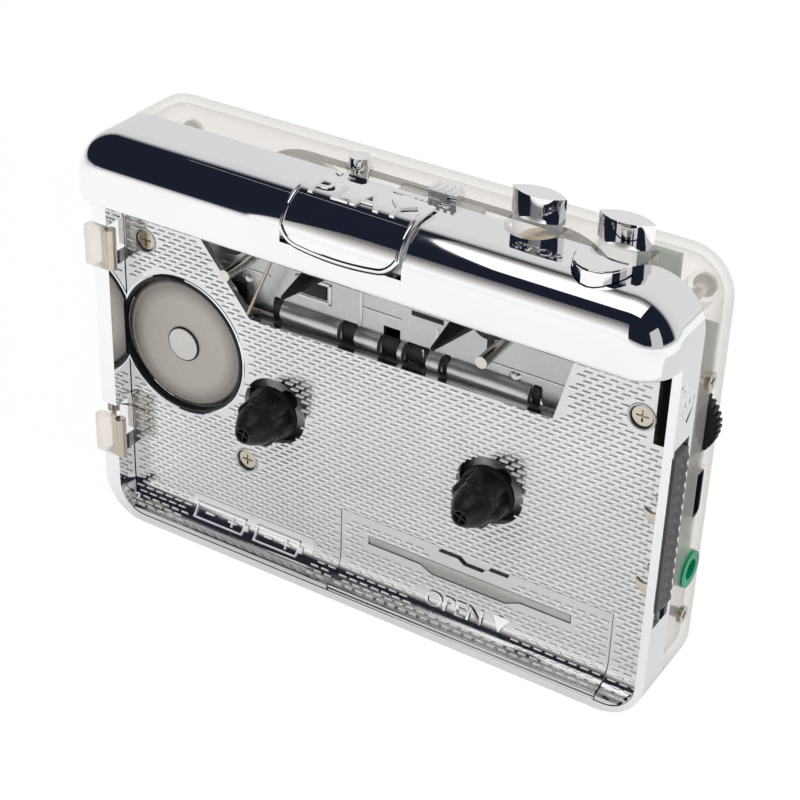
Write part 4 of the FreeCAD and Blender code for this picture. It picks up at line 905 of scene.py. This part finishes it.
def graded(material, axis, stops):
    """Grades a panel's glow along an axis, by stops of (place in metres, colour)."""
    nodes = material.node_tree.nodes
    links = material.node_tree.links
    split_place = nodes.new("ShaderNodeSeparateXYZ")
    links.new(nodes.new("ShaderNodeTexCoord").outputs["Object"], split_place.inputs[0])
    reach = nodes.new("ShaderNodeMapRange")
    reach.inputs["From Min"].default_value = stops[0][0]
    reach.inputs["From Max"].default_value = stops[-1][0]
    links.new(split_place.outputs[axis], reach.inputs["Value"])
    first = stops[0][0]
    whole = stops[-1][0] - first
    shares = [((place - first) / whole, colour) for place, colour in stops]
    glow = colour_ramp(material.node_tree, reach.outputs["Result"], shares)
    links.new(glow, nodes["Principled BSDF"].inputs["Emission Color"])


def flat_panel(name, corners, glow, axis="Y", stops=None):
    """A glowing board that the camera doesn't see, for the chrome to mirror. Corners in metres."""
    fresh()
    bpy.ops.mesh.primitive_plane_add(size=1)
    piece = bpy.context.active_object
    piece.name = name
    for vertex, corner in zip(piece.data.vertices, corners):
        vertex.co = Vector(corner)
    material = stage_paint(f"{name}_paint", (0.1, 0.1, 0.1), glow)
    if stops:
        graded(material, axis, stops)
    piece.data.materials.append(material)
    piece.visible_camera = False
    piece.visible_shadow = False


flat_panel("overhead_panel", [(-0.235, -0.29, 0.58), (0.22, -0.29, 0.58), (-0.235, 0.16, 0.58),
                              (0.22, 0.16, 0.58)], 1.15, "Y",
           [(-0.29, (1, 1, 1)), (0.0, (1, 1, 1)), (0.07, (0.36, 0.33, 0.31)),
            (0.12, (0.10, 0.09, 0.085)), (0.16, (0.02, 0.022, 0.035))])
flat_panel("strip_panel", [(-0.38, 0.130, 0.58), (-0.245, 0.030, 0.58), (-0.38, 0.137, 0.58),
                           (-0.245, 0.036, 0.58)], 0.5)
flat_panel("side_panel", [(0.057, -0.03, 0.0004), (0.25, -0.03, 0.0004), (0.057, 0.25, 0.0004),
                          (0.25, 0.25, 0.0004)], 0.66)
flat_panel("front_panel", [(-0.32, -0.5, 0.03), (0.05, -0.5, 0.03), (-0.32, -0.5, 0.40),
                           (0.05, -0.5, 0.40)], 0.98, "Z",
           [(0.03, (0.95, 0.94, 0.93)), (0.12, (1, 1, 1)), (0.21, (0.6, 0.56, 0.53)),
            (0.31, (0.2, 0.18, 0.175)), (0.40, (0.012, 0.015, 0.028))])
flat_panel("right_panel", [(0.5, -0.42, 0.05), (0.5, -0.12, 0.05), (0.5, -0.42, 0.4),
                           (0.5, -0.12, 0.4)], 0.5)


def area_light(name, place, aim, size, power):
    light = bpy.data.lights.new(name, "AREA")
    light.shape = "SQUARE"
    light.size = size
    light.energy = power
    holder = bpy.data.objects.new(name, light)
    holder.location = place
    holder.rotation_euler = (Vector(aim) - Vector(place)).to_track_quat("-Z", "Y").to_euler()
    holder.visible_glossy = False
    bpy.context.collection.objects.link(holder)


area_light("key_light", (-0.5, -0.7, 1.3), (0, 0, 0.03), 1.4, 11)
area_light("fill_light", (0.9, -0.3, 0.9), (0, 0, 0.03), 1.2, 6)
area_light("back_light", (0.1, 1.0, 1.1), (0, 0, 0.03), 1.4, 7)

# the studio: glossy surfaces mirror a dark room, pale behind and below; the rest see plain white
world = bpy.data.worlds.new("studio")
bpy.context.scene.world = world
world.use_nodes = True
tree = world.node_tree
tree.nodes.clear()
world_out = tree.nodes.new("ShaderNodeOutputWorld")
around = tree.nodes.new("ShaderNodeTexCoord")
split = tree.nodes.new("ShaderNodeSeparateXYZ")
tree.links.new(around.outputs["Generated"], split.inputs[0])


def from_side(value):
    """Shifts a direction's part from the range -1 to 1 to the range 0 to 1."""
    node = tree.nodes.new("ShaderNodeMapRange")
    node.inputs["From Min"].default_value = -1
    tree.links.new(value, node.inputs["Value"])
    return node.outputs["Result"]


ROOM = (0.012, 0.015, 0.028)
WALL = (0.68, 0.685, 0.69)
PALE = (0.84, 0.835, 0.82)
WHITE = (1, 1, 1)
NONE = (0, 0, 0)
depth_tint = colour_ramp(tree, from_side(split.outputs["Y"]),
                         [(0.0, ROOM), (0.66, ROOM), (0.74, WALL), (1.0, PALE)])
low_share = colour_ramp(tree, from_side(split.outputs["Z"]),
                        [(0.0, WHITE), (0.49, WHITE), (0.53, NONE), (1.0, NONE)])
join = tree.nodes.new("ShaderNodeMixRGB")
tree.links.new(low_share, join.inputs["Fac"])
tree.links.new(depth_tint, join.inputs["Color1"])
join.inputs["Color2"].default_value = (*PALE, 1)
seen = tree.nodes.new("ShaderNodeBackground")
tree.links.new(join.outputs[0], seen.inputs["Color"])
plain = tree.nodes.new("ShaderNodeBackground")
plain.inputs["Color"].default_value = (1, 1, 1, 1)
plain.inputs["Strength"].default_value = 0.6
kind_of_ray = tree.nodes.new("ShaderNodeLightPath")
glossy_only = tree.nodes.new("ShaderNodeMixShader")
tree.links.new(kind_of_ray.outputs["Is Glossy Ray"], glossy_only.inputs["Fac"])
tree.links.new(plain.outputs[0], glossy_only.inputs[1])
tree.links.new(seen.outputs[0], glossy_only.inputs[2])
tree.links.new(glossy_only.outputs[0], world_out.inputs["Surface"])

lens = bpy.data.cameras.new("camera")
lens.lens = 87.975
lens.sensor_width = 36
lens.clip_start = 0.01
camera = bpy.data.objects.new("camera", lens)
bpy.context.collection.objects.link(camera)
CAMERA_AT = (0.14240, -0.23292, 0.21219)
CAMERA_SIDEWAYS = math.radians(30.7607)
CAMERA_TILT = math.radians(57.9449)
CAMERA_ROLL = math.radians(2.0188)
camera.matrix_world = (Matrix.Translation(CAMERA_AT) @ Matrix.Rotation(CAMERA_SIDEWAYS, 4, "Z")
                       @ Matrix.Rotation(CAMERA_TILT, 4, "X") @ Matrix.Rotation(CAMERA_ROLL, 4, "Z"))
bpy.context.scene.camera = camera
bpy.context.scene.view_settings.view_transform = "Standard"
